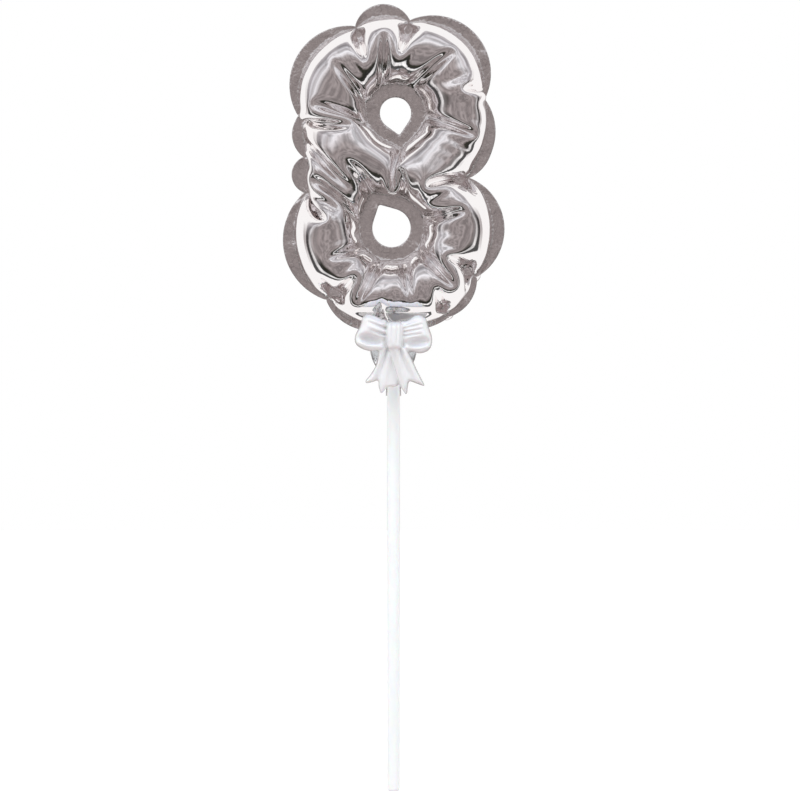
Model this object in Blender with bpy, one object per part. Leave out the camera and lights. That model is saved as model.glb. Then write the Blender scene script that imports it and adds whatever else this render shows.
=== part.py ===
"""Foil number-eight balloon on a stick: the kind that is pushed into a cake.

A silver foil figure eight sits in a clear cup, the cup turns on a plastic stick,
and a moulded bow is pegged to the front of the cup.

Frame: metres, +Z up along the stick, the balloon's front faces -Y, and the origin
is the middle of the flat at the stick's lower tip.
"""

import math

import bmesh
import bpy
import numpy as np
from mathutils import Matrix, Vector
from mathutils.geometry import delaunay_2d_cdt

# Stick: a thin plastic tube with a closed, rounded tip.
STICK_RADIUS = 0.0025
STICK_WALL = 0.0008
STICK_TOP = 0.1700
TIP_FLAT_RADIUS = 0.0013
TIP_STEPS = 6
TIP_FLOOR = 3 * STICK_WALL
ROUND_SEGMENTS = 64
ROD_SEGMENTS = 32
SHARP_ANGLE = 40.0

# Holder cup: a socket over the stick, a bowl above it and a lug for the bow.
SOCKET_RADIUS = 0.00257
SOCKET_BOTTOM = 0.1640
STEM_RADIUS = 0.0035
STEM_LENGTH = 0.0036
CUP_WALL = 0.0008
CUP_FLOOR = STICK_TOP + 0.0012
CUP_FLOOR_RADIUS = 0.0042
BOWL_RIM_RADIUS = 0.0096
BOWL_RIM = 0.1795
BOWL_STEPS = 8
LUG_HEIGHT = 0.1765
LUG_HALF = 0.0022
LUG_FRONT = -0.0108
LUG_BACK = -0.0086
PEG_RADIUS = 0.0011
PEG_HOLE_RADIUS = 0.0013
PEG_HOLE_FRONT = -0.013
PEG_HOLE_BACK = -0.006
PEG_ROOT = 0.001

# Touching meshes keep this much apart.
GAP = 0.0003

# Loose points keep this share of a grid step clear of every outline.
GRID_MARGIN = 0.6

# Foil: two sheets sealed round the edge, and the tail that goes down into the cup.
FOIL_THICKNESS = 0.00025
FOIL_SWELL = 0.90
FOIL_GRID = 0.0036
EDGE_STEP = 0.0034
OUTER_FLANGE = 0.0050
PINCH_FLANGE = 0.0012
EYE_FLANGE = 0.0054
BODY_LOW = 0.2200
BODY_HIGH = 0.2720
NECK_HALF_WIDTH = 0.0040
NECK_CHANNEL_HALF = 0.0025
NECK_TOP = 0.1850
NECK_BOTTOM = 0.1818
NECK_SEAL = 0.0008
NECK_LINE = (NECK_BOTTOM + 0.0024, NECK_TOP + 0.0010, NECK_TOP + 0.0040)
TAIL_HALF_WIDTH = 0.0030
TAIL_SLOT_Y = 0.0049
TAIL_TOP_RUN = 0.0008
TAIL_LEAN_HEIGHT = 0.1768
TAIL_BEND_HEIGHT = 0.1730
TAIL_BOTTOM = 0.1580
SLOT_BOTTOM = 0.1660
SLOT_TOP = 0.1745
SLOT_CLEARANCE = 0.0006
VALVE_HALF_WIDTH = 0.0012
VALVE_THICKNESS = 0.0002
VALVE_BOTTOM = 0.1852
VALVE_TOP = 0.2000

# The outer edge is a chain of arcs between pinched points: x, z and the arc's rise.
LOBES = (
    (-0.0040, 0.1850, 0.0050),
    (-0.0270, 0.1965, 0.0126),
    (-0.0358, 0.2394, 0.0048),
    (-0.0362, 0.2537, 0.0028),
    (-0.0382, 0.2701, 0.0132),
    (-0.0154, 0.3061, 0.0076),
    (0.0066, 0.3085, 0.0152),
    (0.0366, 0.2769, 0.0070),
    (0.0306, 0.2453, 0.0124),
    (0.0334, 0.2057, 0.0034),
    (0.0222, 0.1897, 0.0020),
    (0.0040, 0.1850, 0.0),
)

# Each eye is a round hole drawn out to a point: centre, radius and tip.
UPPER_EYE = ((0.0008, 0.2713), 0.0063, (0.0024, 0.2624))
LOWER_EYE = ((-0.0008, 0.2253), 0.0077, (-0.0058, 0.2347))

# Bow: moulded in one piece, domed in front and flat at the back.
BOW_BACK = -0.0111
BOW_GRID = 0.0017
BOW_SWELL = 0.85
BOW_BORDER = 0.0009
BOW_CENTRE_X = 0.0002
BOW_OUTLINE = (
    (0.0, 0.1876), (0.0026, 0.1878), (0.0075, 0.1899), (0.0121, 0.1897), (0.0140, 0.1862),
    (0.0155, 0.1808), (0.0149, 0.1768), (0.0110, 0.1753), (0.0072, 0.1755), (0.0080, 0.1712),
    (0.0122, 0.1628), (0.0124, 0.1621), (0.0112, 0.1620), (0.0060, 0.1634), (0.0062, 0.1600),
    (0.0053, 0.1589), (0.0018, 0.1625), (-0.0018, 0.1628), (-0.0040, 0.1596), (-0.0052, 0.1593),
    (-0.0060, 0.1638), (-0.0100, 0.1632), (-0.0110, 0.1634), (-0.0108, 0.1642), (-0.0074, 0.1704),
    (-0.0064, 0.1755), (-0.0110, 0.1755), (-0.0149, 0.1776), (-0.0155, 0.1808), (-0.0135, 0.1850),
    (-0.0126, 0.1896), (-0.0105, 0.1905), (-0.0072, 0.1903), (-0.0030, 0.1878),
)


def clear_scene():
    """Remove whatever the file holds."""
    for obj in list(bpy.data.objects):
        bpy.data.objects.remove(obj, do_unlink=True)


def plain_material(name, colour, roughness, metallic=0.0, transmission=0.0):
    """A Principled material with one colour."""
    material = bpy.data.materials.new(name)
    material.use_nodes = True
    shader = material.node_tree.nodes["Principled BSDF"]
    shader.inputs["Base Color"].default_value = (*colour, 1.0)
    shader.inputs["Roughness"].default_value = roughness
    shader.inputs["Metallic"].default_value = metallic
    shader.inputs["Transmission Weight"].default_value = transmission
    material.diffuse_color = (*colour, 1.0)
    return material


def object_from_bmesh(name, bm, material=None, parent=None):
    """Turn a bmesh into a named object, shaded smooth, under its parent empty."""
    mesh = bpy.data.meshes.new(name)
    bm.to_mesh(mesh)
    bm.free()
    mesh.shade_smooth()
    mesh.set_sharp_from_angle(angle=math.radians(SHARP_ANGLE))
    obj = bpy.data.objects.new(name, mesh)
    bpy.context.collection.objects.link(obj)
    if material:
        mesh.materials.append(material)
    if parent:
        obj.parent = parent
        obj.matrix_parent_inverse = parent.matrix_world.inverted()
    return obj


def joint_empty(name, location, parent=None):
    """An empty on a joint's axis, which the moving pieces are parented to."""
    empty = bpy.data.objects.new(name, None)
    bpy.context.collection.objects.link(empty)
    empty.location = location
    if parent:
        empty.parent = parent
        empty.location = Vector(location) - parent.matrix_world.translation
    bpy.context.view_layer.update()
    return empty


def lathe(profile):
    """Turn a closed profile of (radius, z) points about the Z axis."""
    bm = bmesh.new()
    points = [bm.verts.new((r, 0.0, z)) for r, z in profile]
    edges = [bm.edges.new(pair) for pair in zip(points, points[1:])]
    if profile[0][0] > 0.0:
        edges.append(bm.edges.new((points[-1], points[0])))
    bmesh.ops.spin(bm, geom=points + edges, cent=(0, 0, 0), axis=(0, 0, 1),
                   angle=2 * math.pi, steps=ROUND_SEGMENTS, use_merge=True)
    bmesh.ops.remove_doubles(bm, verts=bm.verts, dist=1e-6)
    bmesh.ops.recalc_face_normals(bm, faces=bm.faces)
    return bm


def block(low, high):
    """A plain box between two corners."""
    bm = bmesh.new()
    bmesh.ops.create_cube(bm, size=1.0)
    low, high = Vector(low), Vector(high)
    bmesh.ops.scale(bm, vec=high - low, verts=bm.verts)
    bmesh.ops.translate(bm, vec=(low + high) / 2, verts=bm.verts)
    return bm


def rod_along_y(radius, z, y_from, y_to):
    """A cylinder along Y, in the middle of the part."""
    bm = bmesh.new()
    bmesh.ops.create_cone(bm, cap_ends=True, segments=ROD_SEGMENTS, radius1=radius,
                          radius2=radius, depth=abs(y_to - y_from))
    bmesh.ops.rotate(bm, verts=bm.verts, matrix=Matrix.Rotation(math.pi / 2, 3, "X"))
    bmesh.ops.translate(bm, vec=(0.0, (y_from + y_to) / 2, z), verts=bm.verts)
    bmesh.ops.recalc_face_normals(bm, faces=bm.faces)
    return bm


def combine(obj, other, operation):
    """Join another solid to an object, or cut it away, and hide the other solid."""
    boolean = obj.modifiers.new(other.name, "BOOLEAN")
    boolean.operation = operation
    boolean.object = other
    boolean.solver = "EXACT"
    other.hide_render = True
    other.display_type = "WIRE"


def helper(name, bm, parent=None):
    """A solid that only shapes another one."""
    obj = object_from_bmesh(name, bm, parent=parent)
    obj.hide_render = True
    obj.display_type = "WIRE"
    return obj


def arc(start, end, rise):
    """Points from start up to, but not including, end on an arc bulging to the left."""
    start, end = np.array(start), np.array(end)
    chord = end - start
    length = math.hypot(*chord)
    along = chord / length
    left = np.array((-along[1], along[0]))
    half = length / 2
    count = max(2, round(math.hypot(length, 2 * rise) / EDGE_STEP))
    if abs(rise) < 1e-6:
        return [start + chord * i / count for i in range(count)]
    radius = (half * half + rise * rise) / (2 * rise)
    centre = (start + end) / 2 + left * (rise - radius)
    sweep = math.atan2(half, radius - rise)
    points = []
    for i in range(count):
        angle = sweep * (2 * i / count - 1)
        points.append(centre + radius * (left * math.cos(angle) + along * math.sin(angle)))
    return points


def balloon_edge(inset):
    """The outer edge, or the seam inside it: inset 0 is the edge and 1 is the seam."""
    outline = []
    for here, there in zip(LOBES, LOBES[1:]):
        ends = []
        for x, z, _rise in (here, there):
            point = np.array((x, z))
            towards = np.array((0.0, np.clip(z, BODY_LOW, BODY_HIGH))) - point
            ends.append(point + inset * PINCH_FLANGE * towards / math.hypot(*towards))
        rise = here[2] - inset * min(OUTER_FLANGE - PINCH_FLANGE, here[2])
        outline += arc(ends[0], ends[1], rise)
    outline.append(ends[1])
    return outline


def flange_outline():
    """The whole outer edge of a foil sheet, with the neck at the bottom."""
    return balloon_edge(0.0) + [
        np.array((NECK_HALF_WIDTH, NECK_BOTTOM)),
        np.array((-NECK_HALF_WIDTH, NECK_BOTTOM)),
    ]


def seam_outline():
    """The seam where the two sheets part, with the filling channel in the neck."""
    body = balloon_edge(1.0)
    low = NECK_BOTTOM + NECK_SEAL
    body[0] = np.array((-NECK_CHANNEL_HALF, NECK_TOP + OUTER_FLANGE))
    body[-1] = np.array((NECK_CHANNEL_HALF, NECK_TOP + OUTER_FLANGE))
    return body + [
        np.array((NECK_CHANNEL_HALF, NECK_TOP)),
        np.array((NECK_CHANNEL_HALF, low)),
        np.array((-NECK_CHANNEL_HALF, low)),
        np.array((-NECK_CHANNEL_HALF, NECK_TOP)),
    ]


def teardrop(eye, grow):
    """A round hole drawn out to a tip, grown evenly by the given width."""
    centre, radius, tip = np.array(eye[0]), eye[1] + grow, np.array(eye[2])
    reach = tip - centre
    tip_length = math.hypot(*reach)
    tip = centre + reach / tip_length * (tip_length + grow)
    towards = math.atan2(*(tip - centre)[::-1])
    open_angle = math.acos(radius / math.hypot(*(tip - centre)))
    sweep = 2 * (math.pi - open_angle)
    count = round(radius * sweep / EDGE_STEP)
    points = [tip]
    for i in range(count + 1):
        angle = towards + open_angle + sweep * i / count
        points.append(centre + radius * np.array((math.cos(angle), math.sin(angle))))
    return points


def inside(points, outline):
    """Which points lie inside a closed outline."""
    points, outline = np.asarray(points), np.asarray(outline)
    result = np.zeros(len(points), bool)
    for a, b in zip(outline, np.roll(outline, -1, axis=0)):
        straddles = (a[1] > points[:, 1]) != (b[1] > points[:, 1])
        with np.errstate(divide="ignore", invalid="ignore"):
            crossing = a[0] + (points[:, 1] - a[1]) * (b[0] - a[0]) / (b[1] - a[1])
        result ^= straddles & (points[:, 0] < crossing)
    return result


def distance_to(points, outline):
    """Each point's distance to a closed outline."""
    points, outline = np.asarray(points), np.asarray(outline)
    nearest = np.full(len(points), np.inf)
    for a, b in zip(outline, np.roll(outline, -1, axis=0)):
        side = b - a
        share = np.clip((points - a) @ side / max(side @ side, 1e-18), 0.0, 1.0)
        gap = np.linalg.norm(points - a - share[:, None] * side, axis=1)
        nearest = np.minimum(nearest, gap)
    return nearest


def grid_inside(outline, holes, step):
    """Points of a triangular grid inside an outline, clear of it and of its holes."""
    low, high = np.min(outline, axis=0), np.max(outline, axis=0)
    rows = np.arange(low[1], high[1], step * math.sqrt(3) / 2)
    points = []
    for number, z in enumerate(rows):
        for x in np.arange(low[0] + (number % 2) * step / 2, high[0], step):
            points.append((x, z))
    points = np.array(points)
    keep = inside(points, outline) & (distance_to(points, outline) > GRID_MARGIN * step)
    for hole in holes:
        keep &= ~inside(points, hole) & (distance_to(points, hole) > GRID_MARGIN * step)
    return list(points[keep])


def triangulate(loops, loose, edge, holes):
    """Triangles over the loops and loose points, inside the edge and outside the holes."""
    points = [Vector(p) for p in loose]
    edges = []
    for loop in loops:
        first = len(points)
        points += [Vector(p) for p in loop]
        edges += [(first + i, first + (i + 1) % len(loop)) for i in range(len(loop))]
    found, _, faces, *_ = delaunay_2d_cdt(points, edges, [], 0, 1e-7, False)
    flat = np.array([tuple(p) for p in found])
    faces = np.array(faces)
    centres = flat[faces].mean(axis=1)
    keep = inside(centres, edge)
    for hole in holes:
        keep &= ~inside(centres, hole)
    return flat, faces[keep]


def swelling(flat, faces, seam, holes):
    """How far a sheet held at its seams swells: round where it is a plain tube."""
    held = ~inside(flat, seam) | (distance_to(flat, seam) < 1e-6)
    for hole in holes:
        held |= inside(flat, hole) | (distance_to(flat, hole) < 1e-6)
    stiffness = np.zeros((len(flat), len(flat)))
    load = np.zeros(len(flat))
    for face in faces:
        corners = flat[face]
        sides = corners[[2, 0, 1]] - corners[[1, 2, 0]]
        area = abs(sides[0][0] * sides[1][1] - sides[0][1] * sides[1][0]) / 2
        stiffness[np.ix_(face, face)] += sides @ sides.T / (4 * area)
        load[face] += area / 3
    free = np.flatnonzero(~held)
    height = np.zeros(len(flat))
    height[free] = np.linalg.solve(stiffness[np.ix_(free, free)], load[free])
    return np.sqrt(2 * np.maximum(height, 0.0))


def foil_pattern():
    """The flat sheet's points and triangles, and how far each point swells."""
    edge, seam = flange_outline(), seam_outline()
    eyes = [teardrop(eye, 0.0) for eye in (UPPER_EYE, LOWER_EYE)]
    eye_seams = [teardrop(eye, EYE_FLANGE) for eye in (UPPER_EYE, LOWER_EYE)]
    grid = grid_inside(seam, eye_seams, FOIL_GRID)
    neck_line = [np.array((0.0, z)) for z in NECK_LINE]
    loops = [edge, seam, *eyes, *eye_seams]
    flat, faces = triangulate(loops, grid + neck_line, edge, eyes)
    return flat, faces, swelling(flat, faces, seam, eye_seams)


def foil_sheet(name, pattern, facing, material, parent):
    """One of the two sheets: facing is -1 for the front and +1 for the back."""
    flat, faces, swell = pattern
    bm = bmesh.new()
    for (x, z), rise in zip(flat, swell):
        bm.verts.new((x, facing * (GAP / 2 + FOIL_SWELL * rise), z))
    bm.verts.ensure_lookup_table()
    for face in faces:
        bm.faces.new([bm.verts[i] for i in face])
    bm.normal_update()
    lean = sum(face.normal.y for face in bm.faces)
    if lean * facing < 0:
        bmesh.ops.reverse_faces(bm, faces=bm.faces)
    obj = object_from_bmesh(name, bm, material, parent)
    solidify = obj.modifiers.new("Foil thickness", "SOLIDIFY")
    solidify.thickness = FOIL_THICKNESS
    solidify.offset = 1.0
    return obj


def ribbon(route, half_width, thickness, y_shift):
    """A flat strip across X that follows a route of (y, z) points."""
    bm = bmesh.new()
    rings = []
    for y, z in route:
        corners = ((-half_width, -1), (half_width, -1), (half_width, 1), (-half_width, 1))
        rings.append([bm.verts.new((x, y + y_shift + side * thickness / 2, z))
                      for x, side in corners])
    for one, two in zip(rings, rings[1:]):
        for i in range(4):
            bm.faces.new((one[i], one[(i + 1) % 4], two[(i + 1) % 4], two[i]))
    bm.faces.new(rings[0])
    bm.faces.new(reversed(rings[-1]))
    bmesh.ops.recalc_face_normals(bm, faces=bm.faces)
    return bm


def make_stick():
    """The stick: a tube with a rounded, closed tip and an open top."""
    material = plain_material("stick_plastic", (0.93, 0.93, 0.93), 0.30, transmission=0.15)
    bend = STICK_RADIUS - TIP_FLAT_RADIUS
    profile = [(0.0, 0.0)]
    for i in range(TIP_STEPS + 1):
        angle = math.pi / 2 * i / TIP_STEPS
        profile.append((TIP_FLAT_RADIUS + bend * math.sin(angle), bend * (1 - math.cos(angle))))
    bore = STICK_RADIUS - STICK_WALL
    profile += [(STICK_RADIUS, STICK_TOP), (bore, STICK_TOP), (bore, TIP_FLOOR), (0.0, TIP_FLOOR)]
    return object_from_bmesh("stick", lathe(profile), material)


def bowl_curve(radius_offset, start_radius, start_z, end_z):
    """The bowl's side, from the floor up to the rim, as a quarter of an ellipse."""
    rim = BOWL_RIM_RADIUS + radius_offset
    points = []
    for i in range(BOWL_STEPS + 1):
        angle = math.pi / 2 * i / BOWL_STEPS
        points.append((start_radius + (rim - start_radius) * math.sin(angle),
                       end_z - (end_z - start_z) * math.cos(angle)))
    return points


def make_cup(parent):
    """The clear cup: socket, bowl, lug for the bow, and slot for the foil tail."""
    material = plain_material("cup_clear", (0.88, 0.89, 0.90), 0.15, transmission=0.8)
    socket_top = STICK_TOP + GAP
    outer = bowl_curve(0.0, STEM_RADIUS, SOCKET_BOTTOM + STEM_LENGTH, BOWL_RIM)
    inner = bowl_curve(-CUP_WALL, CUP_FLOOR_RADIUS, CUP_FLOOR, BOWL_RIM)
    profile = [(0.0, socket_top), (SOCKET_RADIUS, socket_top), (SOCKET_RADIUS, SOCKET_BOTTOM),
               (STEM_RADIUS, SOCKET_BOTTOM)]
    profile += outer + inner[::-1] + [(0.0, CUP_FLOOR)]
    cup = object_from_bmesh("holder_cup", lathe(profile), material, parent)
    lug = helper("lug_block", block((-LUG_HALF, LUG_FRONT, LUG_HEIGHT - LUG_HALF),
                                    (LUG_HALF, LUG_BACK, LUG_HEIGHT + LUG_HALF)), parent)
    hole = helper("peg_hole", rod_along_y(PEG_HOLE_RADIUS, LUG_HEIGHT, PEG_HOLE_FRONT,
                                          PEG_HOLE_BACK), parent)
    slot_half = TAIL_HALF_WIDTH + SLOT_CLEARANCE
    slot_depth = GAP / 2 + FOIL_THICKNESS + SLOT_CLEARANCE
    slot = helper("tail_slot", block((-slot_half, TAIL_SLOT_Y - slot_depth, SLOT_BOTTOM),
                                     (slot_half, TAIL_SLOT_Y + slot_depth, SLOT_TOP)), parent)
    combine(cup, lug, "UNION")
    combine(cup, hole, "DIFFERENCE")
    combine(cup, slot, "DIFFERENCE")
    return cup


def make_bow(parent):
    """The bow: domed loops, knot and tails on a flat back, with a peg behind."""
    material = plain_material("bow_pearl", (0.90, 0.91, 0.92), 0.18)
    outline = [np.array((x + BOW_CENTRE_X, z)) for x, z in BOW_OUTLINE]
    grid = grid_inside(outline, [], BOW_GRID)
    flat, faces = triangulate([outline], grid, outline, [])
    swell = swelling(flat, faces, outline, [])
    bm = bmesh.new()
    front = [bm.verts.new((x, BOW_BACK - BOW_BORDER - BOW_SWELL * rise, z))
             for (x, z), rise in zip(flat, swell)]
    for face in faces:
        bm.faces.new([front[i] for i in face])
    rim = [edge for edge in bm.edges if edge.is_boundary]
    skirt = bmesh.ops.extrude_edge_only(bm, edges=rim)["geom"]
    for vert in (item for item in skirt if isinstance(item, bmesh.types.BMVert)):
        vert.co.y = BOW_BACK
    bmesh.ops.holes_fill(bm, edges=[edge for edge in bm.edges if edge.is_boundary], sides=0)
    bmesh.ops.triangulate(bm, faces=[face for face in bm.faces if len(face.verts) > 4])
    bmesh.ops.recalc_face_normals(bm, faces=bm.faces)
    bow = object_from_bmesh("bow", bm, material, parent)
    peg = helper("bow_peg", rod_along_y(PEG_RADIUS, LUG_HEIGHT, BOW_BACK - PEG_ROOT, LUG_BACK),
                 parent)
    combine(bow, peg, "UNION")
    return bow


def make_balloon(parent):
    """The two foil sheets, which hold the air between them."""
    pattern = foil_pattern()
    front = plain_material("front_foil", (0.78, 0.76, 0.75), 0.08, metallic=1.0)
    back = plain_material("back_foil", (0.76, 0.74, 0.73), 0.10, metallic=1.0)
    foil_sheet("front_foil_sheet", pattern, -1, front, parent)
    foil_sheet("back_foil_sheet", pattern, 1, back, parent)


def make_valve(parent):
    """The two thin films of the filling valve, inside the balloon's neck."""
    material = plain_material("valve_film", (0.85, 0.87, 0.88), 0.25, transmission=0.6)
    route = [(0.0, VALVE_BOTTOM), (0.0, VALVE_TOP)]
    for name, side in (("valve_front_film", -1), ("valve_back_film", 1)):
        shift = side * (GAP + VALVE_THICKNESS) / 2
        bm = ribbon(route, VALVE_HALF_WIDTH, VALVE_THICKNESS, shift)
        object_from_bmesh(name, bm, material, parent)


def make_tail(parent):
    """The foil below the neck: it leans back and goes down through the cup's slot."""
    material = plain_material("tail_foil", (0.78, 0.76, 0.75), 0.12, metallic=1.0)
    top = NECK_BOTTOM - 2 * GAP
    route = [(0.0, top), (0.0, top - TAIL_TOP_RUN), (TAIL_SLOT_Y / 2, TAIL_LEAN_HEIGHT),
             (TAIL_SLOT_Y, TAIL_BEND_HEIGHT), (TAIL_SLOT_Y, TAIL_BOTTOM)]
    for name, side in (("front_foil_tail", -1), ("back_foil_tail", 1)):
        shift = side * (GAP + FOIL_THICKNESS) / 2
        bm = ribbon(route, TAIL_HALF_WIDTH, FOIL_THICKNESS, shift)
        object_from_bmesh(name, bm, material, parent)


def main():
    """Build the topper from the stick up."""
    clear_scene()
    make_stick()
    swivel = joint_empty("head_axis", (0.0, 0.0, SOCKET_BOTTOM))
    make_cup(swivel)
    make_bow(joint_empty("bow_axis", (0.0, BOW_BACK, LUG_HEIGHT), swivel))
    neck = joint_empty("tail_axis", (0.0, TAIL_SLOT_Y, CUP_FLOOR), swivel)
    make_tail(neck)
    nod = joint_empty("nod_axis", (0.0, 0.0, NECK_BOTTOM - GAP), neck)
    make_balloon(nod)
    make_valve(nod)


main()
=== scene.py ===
"""Foil number-eight balloon on a stick, with its finishes and its studio.

The silver balloon is cut flat and blown up: its two sheets are inextensible foil, sealed
round a gathered edge and round the two eyes. The bow is moulded from reliefs, and the
cup, the stick and the valve films keep their shapes and get their finishes.
"""
import logging
import math
from dataclasses import dataclass, field
from enum import Enum

import bmesh
import bpy
import numpy as np
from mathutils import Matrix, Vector
from mathutils.geometry import delaunay_2d_cdt


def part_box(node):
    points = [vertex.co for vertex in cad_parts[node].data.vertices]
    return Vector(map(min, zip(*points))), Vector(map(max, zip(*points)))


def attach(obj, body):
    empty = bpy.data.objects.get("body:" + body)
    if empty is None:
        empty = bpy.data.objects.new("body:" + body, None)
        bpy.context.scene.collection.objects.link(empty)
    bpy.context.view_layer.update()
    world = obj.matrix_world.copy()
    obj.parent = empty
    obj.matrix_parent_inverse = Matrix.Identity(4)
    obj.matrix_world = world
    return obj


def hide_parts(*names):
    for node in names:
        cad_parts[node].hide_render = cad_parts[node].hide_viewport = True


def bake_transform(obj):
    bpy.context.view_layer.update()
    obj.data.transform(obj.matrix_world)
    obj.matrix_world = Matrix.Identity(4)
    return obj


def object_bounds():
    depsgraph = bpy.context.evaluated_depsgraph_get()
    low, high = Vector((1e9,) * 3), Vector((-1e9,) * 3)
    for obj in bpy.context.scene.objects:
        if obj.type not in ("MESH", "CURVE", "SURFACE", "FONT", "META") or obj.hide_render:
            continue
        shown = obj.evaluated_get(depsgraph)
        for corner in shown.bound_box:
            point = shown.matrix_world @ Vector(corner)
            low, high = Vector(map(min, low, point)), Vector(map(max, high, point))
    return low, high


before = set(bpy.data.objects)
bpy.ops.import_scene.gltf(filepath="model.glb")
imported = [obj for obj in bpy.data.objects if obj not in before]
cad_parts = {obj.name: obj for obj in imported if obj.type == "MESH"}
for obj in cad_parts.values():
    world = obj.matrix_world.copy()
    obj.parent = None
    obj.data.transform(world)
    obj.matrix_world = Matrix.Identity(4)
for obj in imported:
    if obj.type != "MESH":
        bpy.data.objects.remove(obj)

LOG = logging.getLogger("topper")
CAD_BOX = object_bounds()
NECK = Vector((0.0, 0.0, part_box("front_foil_sheet")[0][2]))
WHITE = (1.0, 1.0, 1.0)
MM = 0.001
ON_LINE = 1e-7
Colour = tuple[float, float, float]
Place = tuple[float, float]


class Side(Enum):
    """Which way a sheet faces, or a fold goes."""

    FRONT = -1
    BACK = 1


# ---------------------------------------------------------------- shader building


class Graph:
    """A node tree with short calls to add nodes and join them."""

    def __init__(self, tree: bpy.types.NodeTree) -> None:
        """Start from the given tree."""
        self.tree = tree

    def add(self, kind: str, values: dict | None = None, **props: object) -> bpy.types.Node:
        """Add a node.

        Args:
            kind: the node's type, without its ShaderNode prefix.
            values: input names or numbers, each with a socket to join or a value.
            props: the node's own settings.

        Returns:
            The new node.
        """
        node = self.tree.nodes.new(kind if kind.startswith("NodeGroup") else "ShaderNode" + kind)
        for name, value in props.items():
            setattr(node, name, value)
        for name, value in (values or {}).items():
            self.feed(node.inputs[name], value)
        return node

    def feed(self, socket: bpy.types.NodeSocket, value: object) -> None:
        """Join a socket to another one, or give it a value.

        Args:
            socket: the input to feed.
            value: an output to join to it, or a plain value.
        """
        if isinstance(value, bpy.types.NodeSocket):
            self.tree.links.new(value, socket)
        else:
            socket.default_value = value

    def maths(self, operation: str, *values: object, clamp: bool = False) -> bpy.types.NodeSocket:
        """Do a sum on one to three values.

        Args:
            operation: the Math node's operation.
            values: outputs or numbers.
            clamp: keep the answer between 0 and 1.

        Returns:
            The answer's socket.
        """
        node = self.add("Math", operation=operation, use_clamp=clamp)
        for socket, value in zip(node.inputs, values):
            self.feed(socket, value)
        return node.outputs[0]

    def mix(self, share: object, first: object, second: object) -> bpy.types.NodeSocket:
        """Mix two colours.

        Args:
            share: how much of the second there is.
            first: the first colour.
            second: the second colour.

        Returns:
            The mixed colour's socket.
        """
        node = self.add("Mix", data_type="RGBA")
        for index, value in ((0, share), (6, first), (7, second)):
            self.feed(node.inputs[index], value)
        return node.outputs[2]

    def ramp(self, share: object, stops: list[tuple[float, Colour]]) -> bpy.types.NodeSocket:
        """Read a colour ramp.

        Args:
            share: where on the ramp to read.
            stops: places and colours, in order.

        Returns:
            The colour's socket.
        """
        node = self.add("ValToRGB", {0: share})
        elements = node.color_ramp.elements
        elements.remove(elements[1])
        for number, (place, colour) in enumerate(stops):
            element = elements[0] if number == 0 else elements.new(place)
            element.position = place
            element.color = rgba(colour)
        return node.outputs[0]

    def spread(self, value: object, source: Place, target: Place = (0.0, 1.0),
               ) -> bpy.types.NodeSocket:
        """Map a value from one range to another, and keep it there.

        Args:
            value: the value to map.
            source: the range that it comes from.
            target: the range that it goes to.

        Returns:
            The mapped value's socket.
        """
        ends = {1: source[0], 2: source[1], 3: target[0], 4: target[1]}
        return self.add("MapRange", {0: value, **ends}).outputs[0]

    def noise(self, place: object, scale: object, detail: float) -> bpy.types.NodeSocket:
        """Return the value of a noise texture."""
        node = self.add("TexNoise", {"Vector": place, "Scale": scale, "Detail": detail})
        return node.outputs[0]

    def bump(self, shader: bpy.types.Node, height: object, strength: float, deep: float) -> None:
        """Raise a shader's surface by a height.

        Args:
            shader: the shader whose normal is bent.
            height: the height map.
            strength: how firmly it shows.
            deep: how high a height of 1 is, in metres.
        """
        node = self.add("Bump", {"Strength": strength, "Distance": deep, "Height": height})
        self.feed(shader.inputs["Normal"], node.outputs[0])


def rgba(colour: Colour) -> tuple[float, float, float, float]:
    """Return a colour with full alpha."""
    return (*colour, 1.0)


def set_plain(shader: bpy.types.Node, values: dict[str, object]) -> None:
    """Set values that are the same all over, on the shader's own sockets."""
    for name, value in values.items():
        shader.inputs[name].default_value = value


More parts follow.
